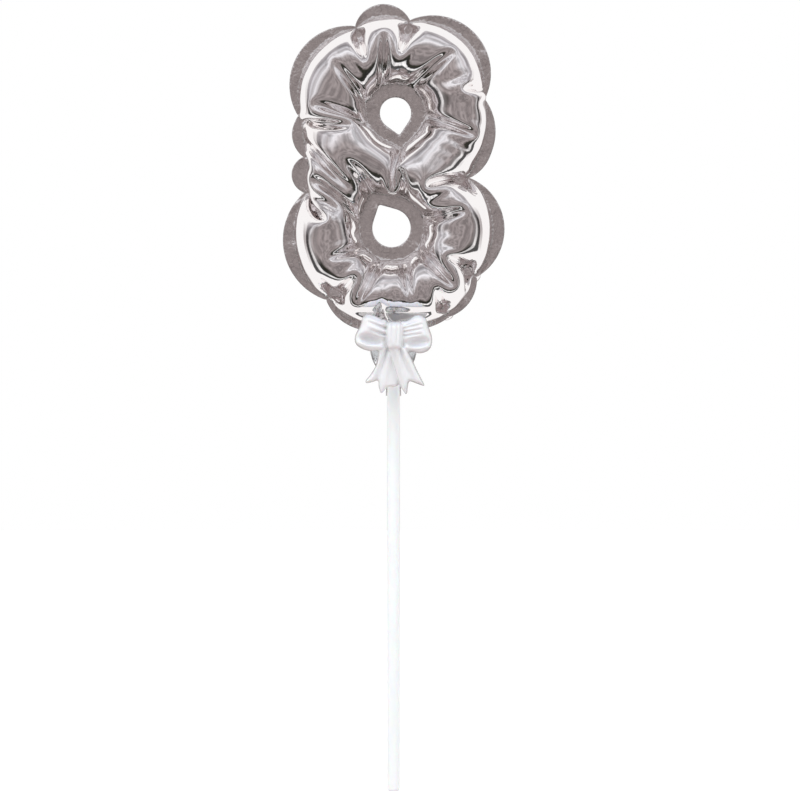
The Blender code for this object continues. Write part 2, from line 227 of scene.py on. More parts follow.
class NodeGroups:
    """The effects that several materials share, each built once."""

    def __init__(self) -> None:
        """Build the groups."""
        self.film_crinkle = self._film_crinkle()
        self.moulded_skin = self._moulded_skin()

    @staticmethod
    def _open(name: str, inputs: dict[str, float], outputs: list[str],
              ) -> tuple[bpy.types.NodeTree, Graph, object, object]:
        """Make a group.

        Args:
            name: the group's name.
            inputs: number inputs with their usual values.
            outputs: number outputs.

        Returns:
            The group, its graph, and the sockets to read from and to fill.
        """
        group = bpy.data.node_groups.new(name, "ShaderNodeTree")
        for label, value in inputs.items():
            socket = group.interface.new_socket(label, in_out="INPUT", socket_type="NodeSocketFloat")
            socket.default_value = value
        for label in outputs:
            group.interface.new_socket(label, in_out="OUTPUT", socket_type="NodeSocketFloat")
        entry = group.nodes.new("NodeGroupInput")
        leave = group.nodes.new("NodeGroupOutput")
        return group, Graph(group), entry.outputs, leave.inputs

    def _film_crinkle(self) -> bpy.types.NodeTree:
        """Thin film's fine crinkles: sharp little creases between nearly flat facets.

        Returns:
            The group.
        """
        group, graph, given, out = self._open(
            "film_crinkle", {"Density": 420.0, "Sharpness": 1.0, "Mask": 1.0}, ["Height", "Dulling"]
        )
        place = graph.add("TexCoord").outputs["Object"]
        bend = graph.add("TexNoise", {"Vector": place, "Scale": 160.0, "Detail": 2.0})
        shift = graph.add("VectorMath", {0: bend.outputs["Color"], 1: (0.0035,) * 3},
                          operation="MULTIPLY")
        moved = graph.add("VectorMath", {0: place, 1: shift.outputs[0]}, operation="ADD")
        cells = graph.add("TexVoronoi", {"Vector": moved.outputs[0], "Scale": given["Density"]},
                          feature="DISTANCE_TO_EDGE")
        crease = graph.maths("MULTIPLY", cells.outputs["Distance"], 3.0, clamp=True)
        crease = graph.maths("POWER", crease, graph.maths("DIVIDE", 0.6, given["Sharpness"]))
        soft = graph.noise(place, 900.0, 3.0)
        height = graph.maths("MULTIPLY_ADD", soft, 0.5, crease)
        graph.feed(out["Height"], graph.maths("MULTIPLY", height, given["Mask"]))
        dull = graph.maths("SUBTRACT", 1.0, crease)
        graph.feed(out["Dulling"], graph.maths("MULTIPLY", dull, given["Mask"]))
        return group

    def _moulded_skin(self) -> bpy.types.NodeTree:
        """Moulded plastic's skin: a faint ripple, and fine handling scuffs.

        Returns:
            The group.
        """
        group, graph, given, out = self._open(
            "moulded_skin", {"Ripple": 300.0, "Scuff Amount": 0.5}, ["Height", "Scuffs", "Shade"]
        )
        place = graph.add("TexCoord").outputs["Object"]
        graph.feed(out["Height"], graph.noise(place, given["Ripple"], 2.0))
        long_way = graph.add("Mapping", {"Vector": place, "Scale": (1.0, 1.0, 0.12)})
        thin = graph.spread(graph.noise(long_way.outputs[0], 2200.0, 4.0), (0.60, 0.72))
        graph.feed(out["Scuffs"], graph.maths("MULTIPLY", thin, given["Scuff Amount"]))
        graph.feed(out["Shade"], graph.noise(place, 90.0, 3.0))
        return group


# ---------------------------------------------------------------- finishes


class Finish:
    """A material with one Principled shader, drawn by a subclass."""

    name = "finish"

    def build(self, groups: NodeGroups) -> bpy.types.Material:
        """Make the material.

        Args:
            groups: the shared effects.

        Returns:
            The material.
        """
        material = bpy.data.materials.new(self.name)
        material.use_nodes = True
        graph = Graph(material.node_tree)
        self.draw(graph, material.node_tree.nodes["Principled BSDF"], groups)
        return material

    def draw(self, graph: Graph, shader: bpy.types.Node, groups: NodeGroups) -> None:
        """Fill in the shader; each finish has its own."""
        raise NotImplementedError


@dataclass(frozen=True)
class FoilFinish(Finish):
    """Mirror-bright metallised film, crinkled most where it is sealed."""

    name: str = "silver_foil"
    tint: Colour = (0.93, 0.915, 0.915)
    seal_tint: Colour = (0.80, 0.765, 0.755)
    warm_tint: Colour = (0.94, 0.89, 0.885)
    shine: float = 0.045
    seal_shine: float = 0.13
    dulling: float = 0.10
    density: float = 420.0
    crinkle: float = 0.16
    body_crinkle: float = 0.015
    cloud_scale: float = 45.0

    def draw(self, graph: Graph, shader: bpy.types.Node, groups: NodeGroups) -> None:
        """Draw the foil: the "sealed" attribute is 1 on the flat seals and 0 on the body.

        Args:
            graph: the material's nodes.
            shader: its Principled shader.
            groups: the shared effects.
        """
        sealed = graph.add("Attribute", attribute_name="sealed").outputs["Fac"]
        mask = graph.spread(sealed, (0.0, 1.0), (self.body_crinkle, 1.0))
        crinkle = graph.add("Group", node_tree=groups.film_crinkle)
        set_plain(crinkle, {"Density": self.density})
        graph.feed(crinkle.inputs["Mask"], mask)
        cloud = graph.noise(graph.add("TexCoord").outputs["Object"], self.cloud_scale, 3.0)
        body = graph.mix(cloud, rgba(self.tint), rgba(self.warm_tint))
        graph.feed(shader.inputs["Base Color"], graph.mix(sealed, body, rgba(self.seal_tint)))
        rough = graph.spread(sealed, (0.0, 1.0), (self.shine, self.seal_shine))
        rough = graph.maths("MULTIPLY_ADD", crinkle.outputs["Dulling"], self.dulling, rough)
        graph.feed(shader.inputs["Roughness"], rough)
        graph.bump(shader, crinkle.outputs["Height"], self.crinkle, 0.0010)
        set_plain(shader, {"Metallic": 1.0})


@dataclass(frozen=True)
class PearlFinish(Finish):
    """Glossy pearl-white moulding with painted light: a cool bluish painted highlight colour where
    it faces up and a darker rosy painted shade underneath.
    """

    name: str = "pearl_plastic"
    pearl: Colour = (0.86, 0.88, 0.89)
    painted_top_light: Colour = (0.78, 0.83, 0.90)
    painted_underside_shade: Colour = (0.81, 0.76, 0.76)
    roughness: float = 0.26

    def draw(self, graph: Graph, shader: bpy.types.Node, groups: NodeGroups) -> None:
        """Draw the pearl: its colour is painted cooler where the surface faces up and darker and
        rosier where it faces down, as painted light and shade.

        Args:
            graph: the material's nodes.
            shader: its Principled shader.
            groups: the shared effects.
        """
        skin = graph.add("Group", node_tree=groups.moulded_skin)
        # painted light and shade: the colour follows how far the surface faces up, a bluish painted
        # highlight on top and a darker rosy painted shade underneath
        facing = graph.add("SeparateXYZ", {0: graph.add("NewGeometry").outputs["Normal"]})
        up = graph.spread(facing.outputs["Z"], (-0.9, 0.9))
        painted_light_share = graph.maths("MULTIPLY_ADD", skin.outputs["Shade"], 0.3, up)
        painted_light_share = graph.maths("SUBTRACT", painted_light_share, 0.15, clamp=True)
        colour = graph.ramp(painted_light_share, [(0.0, self.painted_underside_shade), (0.42, self.pearl), (0.62, self.pearl),
                                   (1.0, self.painted_top_light)])
        graph.feed(shader.inputs["Base Color"], colour)
        rough = graph.maths("MULTIPLY_ADD", skin.outputs["Scuffs"], 0.12, self.roughness)
        graph.feed(shader.inputs["Roughness"], rough)
        graph.bump(shader, skin.outputs["Height"], 0.05, 0.0005)
        set_plain(shader, {"Coat Weight": 0.9, "Coat Roughness": 0.05,
                           "Subsurface Weight": 0.10, "Subsurface Scale": 0.002})


@dataclass(frozen=True)
class StickFinish(Finish):
    """Milky extruded plastic with faint lengthways drawing lines, and a faint white painted glow
    (emission) that brightens it though it is no lamp.
    """

    name: str = "milky_plastic"
    colour: Colour = (0.95, 0.95, 0.95)
    shade: Colour = (0.91, 0.91, 0.92)
    roughness: float = 0.28
    ripple: float = 600.0
    line_scale: float = 3000.0
    glow: float = 0.08

    def draw(self, graph: Graph, shader: bpy.types.Node, groups: NodeGroups) -> None:
        """Draw the stick's plastic.

        Args:
            graph: the material's nodes.
            shader: its Principled shader.
            groups: the shared effects.
        """
        skin = graph.add("Group", node_tree=groups.moulded_skin)
        set_plain(skin, {"Ripple": self.ripple})
        colour = graph.mix(skin.outputs["Shade"], rgba(self.colour), rgba(self.shade))
        graph.feed(shader.inputs["Base Color"], colour)
        place = graph.add("TexCoord").outputs["Object"]
        along = graph.add("Mapping", {"Vector": place, "Scale": (1.0, 1.0, 0.01)})
        lines = graph.noise(along.outputs[0], self.line_scale, 2.0)
        rough = graph.maths("MULTIPLY_ADD", skin.outputs["Scuffs"], 0.2, self.roughness)
        graph.feed(shader.inputs["Roughness"], rough)
        graph.bump(shader, lines, 0.08, 0.0002)
        # the emission is a painted glow: it brightens the stick as if more light fell on it
        set_plain(shader, {"Coat Weight": 0.8, "Coat Roughness": 0.06,
                           "Subsurface Weight": 0.3, "Subsurface Scale": 0.003,
                           "Emission Color": rgba(WHITE), "Emission Strength": self.glow})


@dataclass(frozen=True)
class ClearFinish(Finish):
    """Clear or slightly cloudy plastic, for the cup and the valve films."""

    name: str = "clear_plastic"
    colour: Colour = (0.93, 0.95, 0.96)
    shade: Colour = (0.90, 0.92, 0.94)
    roughness: float = 0.06
    ripple: float = 350.0

    def draw(self, graph: Graph, shader: bpy.types.Node, groups: NodeGroups) -> None:
        """Draw the clear plastic.

        Args:
            graph: the material's nodes.
            shader: its Principled shader.
            groups: the shared effects.
        """
        skin = graph.add("Group", node_tree=groups.moulded_skin)
        set_plain(skin, {"Ripple": self.ripple})
        tint = graph.mix(skin.outputs["Shade"], rgba(self.colour), rgba(self.shade))
        graph.feed(shader.inputs["Base Color"], tint)
        rough = graph.maths("MULTIPLY_ADD", skin.outputs["Scuffs"], 0.25, self.roughness)
        graph.feed(shader.inputs["Roughness"], rough)
        graph.bump(shader, skin.outputs["Height"], 0.02, 0.0003)
        set_plain(shader, {"Transmission Weight": 0.92, "IOR": 1.47})


@dataclass(frozen=True)
class FloorFinish(Finish):
    """The studio's plain white floor."""

    name: str = "studio_floor"
    colour: Colour = (0.72, 0.72, 0.72)
    light: Colour = (0.76, 0.76, 0.76)
    glow: float = 0.60

    def draw(self, graph: Graph, shader: bpy.types.Node, groups: NodeGroups) -> None:
        """Draw the floor.

        Args:
            graph: the material's nodes.
            shader: its Principled shader.
            groups: the shared effects.
        """
        grain = graph.noise(graph.add("TexCoord").outputs["Object"], 60.0, 3.0)
        shade = graph.mix(grain, rgba(self.colour), rgba(self.light))
        graph.feed(shader.inputs["Base Color"], shade)
        set_plain(shader, {"Roughness": 0.9, "Emission Color": rgba(WHITE)})
        seen = graph.add("LightPath").outputs["Is Camera Ray"]
        graph.feed(shader.inputs["Emission Strength"], graph.maths("MULTIPLY", seen, self.glow))


# ---------------------------------------------------------------- flat geometry


def resampled(points: np.ndarray, step: float) -> np.ndarray:
    """Space a closed outline's points evenly.

    Args:
        points: the outline, without a repeated last point.
        step: the distance wanted between points.

    Returns:
        The evenly spaced points.
    """
    closed = np.vstack([points, points[:1]])
    run = np.concatenate([[0.0], np.cumsum(np.linalg.norm(np.diff(closed, axis=0), axis=1))])
    count = int(round(run[-1] / step))
    places = np.arange(count) * run[-1] / count
    return np.stack([np.interp(places, run, closed[:, k]) for k in (0, 1)], axis=1)


def inside(points: np.ndarray, outline: np.ndarray) -> np.ndarray:
    """Tell which points lie inside a closed outline.

    Args:
        points: the points to test.
        outline: the outline's points.

    Returns:
        True for each point inside.
    """
    result = np.zeros(len(points), bool)
    for a, b in zip(outline, np.roll(outline, -1, axis=0)):
        straddles = (a[1] > points[:, 1]) != (b[1] > points[:, 1])
        with np.errstate(divide="ignore", invalid="ignore"):
            crossing = a[0] + (points[:, 1] - a[1]) * (b[0] - a[0]) / (b[1] - a[1])
        result ^= straddles & (points[:, 0] < crossing)
    return result


def distance_to(points: np.ndarray, outline: np.ndarray) -> np.ndarray:
    """Return each point's distance to a closed outline."""
    return nearest_on(points, outline)[1]


def nearest_on(points: np.ndarray, outline: np.ndarray) -> tuple[np.ndarray, np.ndarray]:
    """Find the nearest place on a closed outline.

    Args:
        points: the points to measure.
        outline: the outline's points.

    Returns:
        How far along the outline each nearest place is, and how far away it is.
    """
    nearest = np.full(len(points), np.inf)
    along = np.zeros(len(points))
    run = 0.0
    for a, b in zip(outline, np.roll(outline, -1, axis=0)):
        side = b - a
        length = math.hypot(*side)
        share = np.clip((points - a) @ side / max(length * length, 1e-18), 0.0, 1.0)
        gap = np.linalg.norm(points - a - share[:, None] * side, axis=1)
        better = gap < nearest
        nearest[better] = gap[better]
        along[better] = run + share[better] * length
        run += length
    return along, nearest


def triangle_grid(outline: np.ndarray, keep_clear: list[np.ndarray], step: float) -> np.ndarray:
    """Fill an outline with a triangular grid.

    Args:
        outline: the outline to fill.
        keep_clear: other outlines that the grid's points stay a little away from.
        step: the grid's spacing.

    Returns:
        The grid's points.
    """
    low, high = outline.min(axis=0), outline.max(axis=0)
    rows = np.arange(low[1], high[1], step * math.sqrt(3) / 2)
    points = [(x, z) for number, z in enumerate(rows)
              for x in np.arange(low[0] + (number % 2) * step / 2, high[0], step)]
    grid = np.array(points)
    keep = inside(grid, outline)
    for loop in [outline, *keep_clear]:
        keep &= distance_to(grid, loop) > 0.6 * step
    return grid[keep]


def triangulated(grid: np.ndarray, loops: list[np.ndarray], outline: np.ndarray,
                 holes: list[np.ndarray]) -> tuple[np.ndarray, np.ndarray]:
    """Join points into triangles that keep the given outlines as edges.

    Args:
        grid: the loose points.
        loops: closed outlines to keep.
        outline: the outer edge.
        holes: outlines to leave empty.

    Returns:
        The points and the triangles, all wound the same way.
    """
    points = [Vector(p) for p in grid]
    edges = []
    for loop in loops:
        first = len(points)
        points += [Vector(p) for p in loop]
        edges += [(first + i, first + (i + 1) % len(loop)) for i in range(len(loop))]
    found, _, faces, *_ = delaunay_2d_cdt(points, edges, [], 0, 1e-8, False)
    flat = np.array([tuple(p) for p in found])
    faces = np.array(faces)
    centres = flat[faces].mean(axis=1)
    keep = inside(centres, outline)
    for hole in holes:
        keep &= ~inside(centres, hole)
    faces = faces[keep]
    one, two = flat[faces[:, 1]] - flat[faces[:, 0]], flat[faces[:, 2]] - flat[faces[:, 0]]
    clockwise = one[:, 0] * two[:, 1] < one[:, 1] * two[:, 0]
    faces[clockwise] = faces[clockwise][:, ::-1]
    return flat, faces


def smooth_stretch(a: np.ndarray, b: np.ndarray, c: np.ndarray, d: np.ndarray,
                   count: int) -> list[np.ndarray]:
    """Draw the smooth curve from one knot to the next.

    Args:
        a: the knot before.
        b: where the stretch starts.
        c: where it ends.
        d: the knot after.
        count: how many points to give.

    Returns:
        The points from b up to, but not including, c.
    """
    return [0.5 * (2 * b + (c - a) * t + (2 * a - 5 * b + 4 * c - d) * t * t
                   + (3 * b - a - 3 * c + d) * t ** 3)
            for t in np.linspace(0.0, 1.0, count, endpoint=False)]


def mesh_object(name: str, points: np.ndarray, faces: list | np.ndarray,
                material: bpy.types.Material) -> bpy.types.Object:
    """Make a smooth-shaded mesh object.

    Args:
        name: the piece's name.
        points: its points, in metres.
        faces: its faces.
        material: its finish.

    Returns:
        The object, linked to the scene.
    """
    mesh = bpy.data.meshes.new(name)
    mesh.from_pydata([tuple(p) for p in points], [], [tuple(int(i) for i in f) for f in faces])
    mesh.update()
    mesh.shade_smooth()
    mesh.materials.append(material)
    piece = bpy.data.objects.new(name, mesh)
    bpy.context.collection.objects.link(piece)
    return piece


def mark_sealed(piece: bpy.types.Object, amounts: np.ndarray) -> None:
    """Write how sealed each point of a foil is, for its finish."""
    mask = piece.data.attributes.new("sealed", "FLOAT", "POINT")
    mask.data.foreach_set("value", amounts.astype(np.float32))


def add_film(piece: bpy.types.Object, thickness: float, offset: float) -> None:
    """Give a sheet its thickness.

    Args:
        piece: the sheet.
        thickness: the film's thickness, in metres.
        offset: where the given surface is: 1 for the inner face and 0 for the middle.
    """
    film = piece.modifiers.new("Film", "SOLIDIFY")
    film.thickness = thickness
    film.offset = offset


def apply_modifiers(piece: bpy.types.Object) -> None:
    """Freeze an object's modifiers into its mesh.

    Args:
        piece: the object.
    """
    bpy.context.view_layer.update()
    shape = bpy.data.meshes.new_from_object(
        piece.evaluated_get(bpy.context.evaluated_depsgraph_get()))
    piece.modifiers.clear()
    piece.data = shape


# ---------------------------------------------------------------- the balloon's cut


@dataclass(frozen=True)
class Pinch:
    """A gathered point of the sealed edge, and the lobe that runs on from it.

    x and z are metres across and above the neck, rise is how far the lobe bulges from
    its chord, spare is the share of hidden foil, and fold is where the gather goes.
    """

    x: float
    z: float
    rise: float
    spare: float
    fold: Side = Side.BACK


@dataclass(frozen=True)
class Eye:
    """One of the eight's holes: a round hole drawn out to a point, with a seal round it.

    z is its centre's height above the neck when blown up and flat_z when flat, both in
    metres; flat_z is from the middle of the flat figure. creases are the directions, in
    degrees, in which the foil is already creased outwards from the seal.
    """

    x: float
    z: float
    flat_z: float
    hole: float
    seal: float
    tip: Place
    disc: float
    creases: tuple[float, ...]

    def flat_centre(self) -> np.ndarray:
        """Return the centre in the flat cut."""
        return np.array((self.x, self.flat_z))

    def outline(self, grow: float, step: float) -> np.ndarray:
        """Draw the drawn-out round in the flat cut.

        Args:
            grow: how much wider than the hole.
            step: the points' spacing.

        Returns:
            The outline's points.
        """
        reach, radius = np.array(self.tip), self.hole + grow
        reach = reach * (1.0 + grow / math.hypot(*reach))
        towards = math.atan2(reach[1], reach[0])
        opening = math.acos(radius / math.hypot(*reach))
        angles = towards + np.linspace(opening, 2 * math.pi - opening, 60)
        ring = radius * np.stack([np.cos(angles), np.sin(angles)], axis=1)
        return resampled(self.flat_centre() + np.vstack([reach, ring]), step)


@dataclass
class EightCut:
    """The flat figure eight that both sheets are cut to, and where its seals end up.

    All sizes are in metres. The cut is two overlapping discs with a rounded waist
    (waist_round) and a seal outside the seam. Blown up, the seal is pinched to pinch_width
    between its lobes, and the spare foil folds inwards there: pull_in is the share of a
    gather's depth that goes towards the spine, less edge_slack at the edge.
    """

    step: float
    seal_width: float = 0.0055
    pinch_width: float = 0.0012
    neck_half: float = 0.0040
    neck_foil: float = 0.0100
    neck_seam_height: float = 0.0044
    neck_seal_width: float = 0.0021
    neck_lift: float = 0.0005
    waist_round: float = 0.0090
    pull_in: float = 0.45
    edge_slack: float = 0.3
    least_seal: float = 0.0005
    reach: Place = (0.02, 0.10)
    low_middle: float = 0.0382
    high_middle: float = 0.0902
    upper: Eye = Eye(0.0008, 0.0895, 0.0290, 0.0063, 0.0055, (0.0016, -0.0089), 0.0470,
                     (136.0, 89.0, 49.0, 3.0, -50.0, -95.0, -140.0, -172.0))
    lower: Eye = Eye(-0.0008, 0.0435, -0.0290, 0.0077, 0.0055, (-0.0050, 0.0094), 0.0540,
                     (145.0, 69.0, 13.0, -31.0, -70.0, -102.0, -133.0, -158.0))
    crease_length: float = 0.0100
    crease_half: float = 0.0012
    crease_back: float = 0.0020
    pinches: tuple[Pinch, ...] = (
        Pinch(-0.0040, 0.0032, 0.0050, 9),
        Pinch(-0.0270, 0.0147, 0.0126, 15),
        Pinch(-0.0358, 0.0576, 0.0048, 3),
        Pinch(-0.0362, 0.0719, 0.0028, 3),
        Pinch(-0.0382, 0.0883, 0.0132, 10, Side.FRONT),
        Pinch(-0.0154, 0.1243, 0.0076, 7),
        Pinch(0.0066, 0.1267, 0.0152, 12),
        Pinch(0.0366, 0.0951, 0.0070, 6, Side.FRONT),
        Pinch(0.0306, 0.0635, 0.0124, 14),
        Pinch(0.0334, 0.0239, 0.0034, 7),
        Pinch(0.0222, 0.0079, 0.0020, 5),
        Pinch(0.0040, 0.0032, 0.0, 0),
    )
    first_angle: float = -91.0
    seam: np.ndarray = field(init=False)
    edge: np.ndarray = field(init=False)
    eye_seams: list[np.ndarray] = field(init=False)
    eye_holes: list[np.ndarray] = field(init=False)
    points: np.ndarray = field(init=False)
    faces: np.ndarray = field(init=False)
    from_seam: np.ndarray = field(init=False)
    to_seals: np.ndarray = field(init=False)
    swells: np.ndarray = field(init=False)
    face_swells: np.ndarray = field(init=False)
    creased: np.ndarray = field(init=False)

    def __post_init__(self) -> None:
        """Draw the cut and join it into triangles."""
        self.seam = self._two_discs(0.0)
        self.edge = self._two_discs(self.seal_width)
        self.eye_seams = [eye.outline(eye.seal, self.step) for eye in (self.upper, self.lower)]
        self.eye_holes = [eye.outline(0.0, self.step) for eye in (self.upper, self.lower)]
        lines = [self.seam, *self.eye_seams]
        grid = triangle_grid(self.edge, lines + self.eye_holes, self.step)
        for hole in self.eye_holes:
            grid = grid[~inside(grid, hole)]
        self.points, self.faces = triangulated(
            grid, [self.edge, *lines, *self.eye_holes], self.edge, self.eye_holes)
        self.from_seam = distance_to(self.points, self.seam)
        self.to_seals = self.from_seam.copy()
        for line in self.eye_seams:
            self.to_seals = np.minimum(self.to_seals, distance_to(self.points, line))
        self.swells = self._in_body(self.points) & (self.to_seals > ON_LINE)
        self.face_swells = self._in_body(self.points[self.faces].mean(axis=1))
        self.creased = self._creased()

    def _creased(self) -> np.ndarray:
        """Find the creases that start round the eyes.

        Returns:
            How deep in a crease each point is, from 0 to 1.
        """
        depth = np.zeros(len(self.points))
        for eye in (self.upper, self.lower):
            out = self.points - eye.flat_centre()
            for angle in np.radians(eye.creases):
                way = np.array((math.cos(angle), math.sin(angle)))
                along = out @ way - eye.hole - eye.seal
                aside = np.abs(out @ np.array((-way[1], way[0])))
                fade = np.clip(1.0 - along / self.crease_length, 0.0, 1.0)
                fade *= along > -self.crease_back
                depth = np.maximum(depth, fade * np.exp(-(aside / self.crease_half) ** 2))
        return depth

    def _in_body(self, points: np.ndarray) -> np.ndarray:
        """Tell which points are between the outer seam and the eyes' seams.

        Args:
            points: the points to test.

        Returns:
            True for each point between the seams.
        """
        result = inside(points, self.seam)
        for line in self.eye_seams:
            result &= ~inside(points, line)
        return result

    def _two_discs(self, grow: float) -> np.ndarray:
        """Draw the outline of two overlapping discs with a rounded waist.

        Args:
            grow: how much wider than the seam.

        Returns:
            The outline, evenly spaced, anticlockwise from the right.
        """
        angles = np.linspace(0.0, 2 * math.pi, 1440, endpoint=False)
        ways = np.stack([np.cos(angles), np.sin(angles)], axis=1)
        low, high = (np.full(len(ways), end) for end in self.reach)
        for _ in range(32):
            reach = (low + high) / 2
            spots = ways * reach[:, None]
            up, down = (np.linalg.norm(spots - eye.flat_centre(), axis=1) - eye.disc - grow
                        for eye in (self.upper, self.lower))
            close = np.maximum(self.waist_round - np.abs(up - down), 0.0) / self.waist_round
            inner = np.minimum(up, down) - close * close * self.waist_round / 4 < 0.0
            low, high = np.where(inner, reach, low), np.where(inner, high, reach)
        return resampled(ways * low[:, None], self.step)

    def pinch_point(self, number: int, inset: float) -> np.ndarray:
        """Find a pinch.

        Args:
            number: the pinch's number.
            inset: 0 on the edge, 1 on the seam.

        Returns:
            Its place across and above the neck.
        """
        pinch = self.pinches[number]
        place = np.array((pinch.x, pinch.z))
        return place + inset * self.pinch_width * self.inward(place)

    def inward(self, place: np.ndarray) -> np.ndarray:
        """Return the direction from a place on the edge to the figure's spine."""
        spine = np.array((0.0, np.clip(place[1], self.low_middle, self.high_middle)))
        return (spine - place) / math.hypot(*(spine - place))

    def lobe_arc(self, number: int, inset: float, share: np.ndarray) -> tuple[np.ndarray, float]:
        """Read a lobe's arc, which bulges to the left of its way round.

        Args:
            number: the lobe's number.
            inset: 0 on the edge, 1 on the seam.
            share: how far along, from 0 to 1.

        Returns:
            The points and the arc's length.
        """
        start, end = self.pinch_point(number, inset), self.pinch_point(number + 1, inset)
        rise = self.pinches[number].rise
        rise -= inset * min(self.seal_width - self.pinch_width - self.least_seal, rise)
        length = math.hypot(*(end - start))
        along = (end - start) / length
        left = np.array((-along[1], along[0]))
        if rise < 1e-6:
            return start + np.outer(share, end - start), length
        half = length / 2
        radius = (half * half + rise * rise) / (2 * rise)
        sweep = math.atan2(half, radius - rise)
        angles = sweep * (2 * share - 1)
        centre = (start + end) / 2 + left * (rise - radius)
        points = centre + radius * (np.outer(np.cos(angles), left) + np.outer(np.sin(angles), along))
        return points, 2 * sweep * radius

    def blown_up(self) -> tuple[np.ndarray, np.ndarray]:
        """Say where the sealed foil goes when the figure is blown up.

        Returns:
            Which points are sealed, and their places relative to the neck.
        """
        places = np.zeros((len(self.points), 3))
        sealed = ~self.swells
        outer = sealed & (~inside(self.points, self.seam) | (self.from_seam < ON_LINE))
        self._place_edge(places, np.flatnonzero(outer))
        for eye, line in zip((self.upper, self.lower), self.eye_seams):
            ring = sealed & (inside(self.points, line) | (distance_to(self.points, line) < ON_LINE))
            places[ring, 0] = self.points[ring, 0]
            places[ring, 2] = self.points[ring, 1] - eye.flat_z + eye.z
        return sealed, places

    def _place_edge(self, places: np.ndarray, chosen: np.ndarray) -> None:
        """Lay the outer seal along the lobes and put the spare foil into the gathers.

        Args:
            places: the array to fill in.
            chosen: the outer seal's points.
        """
        along, away = nearest_on(self.points[chosen], self.seam)
        closed = np.vstack([self.seam, self.seam[:1]])
        total = np.linalg.norm(np.diff(closed, axis=0), axis=1).sum()
        lobes = len(self.pinches) - 1
        ends = np.array((0.0, 1.0))
        lengths = np.array([self.lobe_arc(i, 1.0, ends)[1] for i in range(lobes)])
        spare = np.array([pinch.spare for pinch in self.pinches[:-1]], float)
        spare *= (total - lengths.sum() - self.neck_foil) / spare.sum()
        turn = math.radians(self.first_angle)
        way = np.array((math.cos(turn), math.sin(turn)))
        first = self.lower.flat_centre() + self.lower.disc * way
        start = nearest_on(first[None], self.seam)[0][0]
        across = away / self.seal_width
        for spot, place, width in zip(chosen, (start - along) % total, across):
            lobe = 0
            while lobe < lobes and place > lengths[lobe] + spare[lobe]:
                place -= lengths[lobe] + spare[lobe]
                lobe += 1
            if lobe == lobes:
                places[spot] = self._neck_place(place / self.neck_foil, width)
            else:
                places[spot] = self._lobe_place(lobe, place, width, lengths[lobe], spare[lobe])

    def _neck_place(self, share: float, width: float) -> tuple[float, float, float]:
        """Find where a point of the neck's seal goes.

        Args:
            share: how far across the neck, from 0 to 1.
            width: 0 on the seam and 1 on the edge.

        Returns:
            The place relative to the neck.
        """
        x = self.neck_half * (1 - 2 * share)
        height = self.neck_seam_height - self.neck_seal_width * width
        return x, self.neck_lift * math.sin(share * math.pi), height

    def _lobe_place(self, lobe: int, place: float, width: float, length: float,
                    spare: float) -> tuple[float, float, float]:
        """Find where a point of a lobe's seal goes.

        Args:
            lobe: the lobe's number.
            place: how far along the lobe's foil.
            width: 0 on the seam and 1 on the edge.
            length: the blown-up arc's length.
            spare: the foil hidden in the lobe's two gathers.

        Returns:
            The place relative to the neck.
        """
        half = spare / 2
        if half <= place <= half + length:
            share = np.array([(place - half) / length])
            inner, outer = (self.lobe_arc(lobe, inset, share)[0][0] for inset in (1.0, 0.0))
            x, z = inner * (1 - width) + outer * width
            return x, 0.0, z
        near = lobe if place < half else lobe + 1
        depth = half - place if place < half else place - half - length
        base = self.pinch_point(near, 1.0) * (1 - width) + self.pinch_point(near, 0.0) * width
        x, z = base + self.inward(base) * depth * self.pull_in * (1 - self.edge_slack * width)
        fold = self.pinches[near].fold.value
        return x, fold * depth * math.sqrt(1 - self.pull_in ** 2), z


# ---------------------------------------------------------------- blowing it up


@dataclass(frozen=True)
class PressPlan:
    """How finely and how long the balloon is blown up.

    step is the foil's mesh size and rounds how many steps of time there are; each round
    pushes the foil outwards and then settles its lengths a few times (passes). drag is the
    share of speed kept, crush and bending how firmly the foil holds against squeezing and
    folding, crease how deep the first creases are, drawn the share of the rounds in which
    the seals are drawn in, tube_half and first_swell the first, slightly swollen shape, and
    jitter and seed the unevenness that starts the wrinkles.
    """

    step: float
    rounds: int
    passes: int = 6
    push: float = 0.00005
    drag: float = 0.96
    crush: float = 0.6
    bending: float = 0.15
    crease: float = 0.85
    drawn: float = 0.6
    first_push: float = 0.4
    tube_half: float = 0.017
    first_swell: float = 0.35
    jitter: float = 0.00005
    seed: int = 3


FINE = PressPlan(0.0014, 320, bending=0.4)


def edges_of(faces: np.ndarray) -> np.ndarray:
    """Return the edges of some triangles, each once."""
    pairs = np.vstack([faces[:, [0, 1]], faces[:, [1, 2]], faces[:, [2, 0]]])
    return np.unique(np.sort(pairs, axis=1), axis=0)


def hinges_of(faces: np.ndarray) -> np.ndarray:
    """Find the corners that face each other across each inner edge.

    Args:
        faces: the triangles.

    Returns:
        Two point numbers for each inner edge.
    """
    found: dict[tuple[int, int], list[int]] = {}
    for a, b, c in faces.tolist():
        for one, two, far in ((a, b, c), (b, c, a), (c, a, b)):
            found.setdefault((min(one, two), max(one, two)), []).append(far)
    return np.array([pair for pair in found.values() if len(pair) == 2])


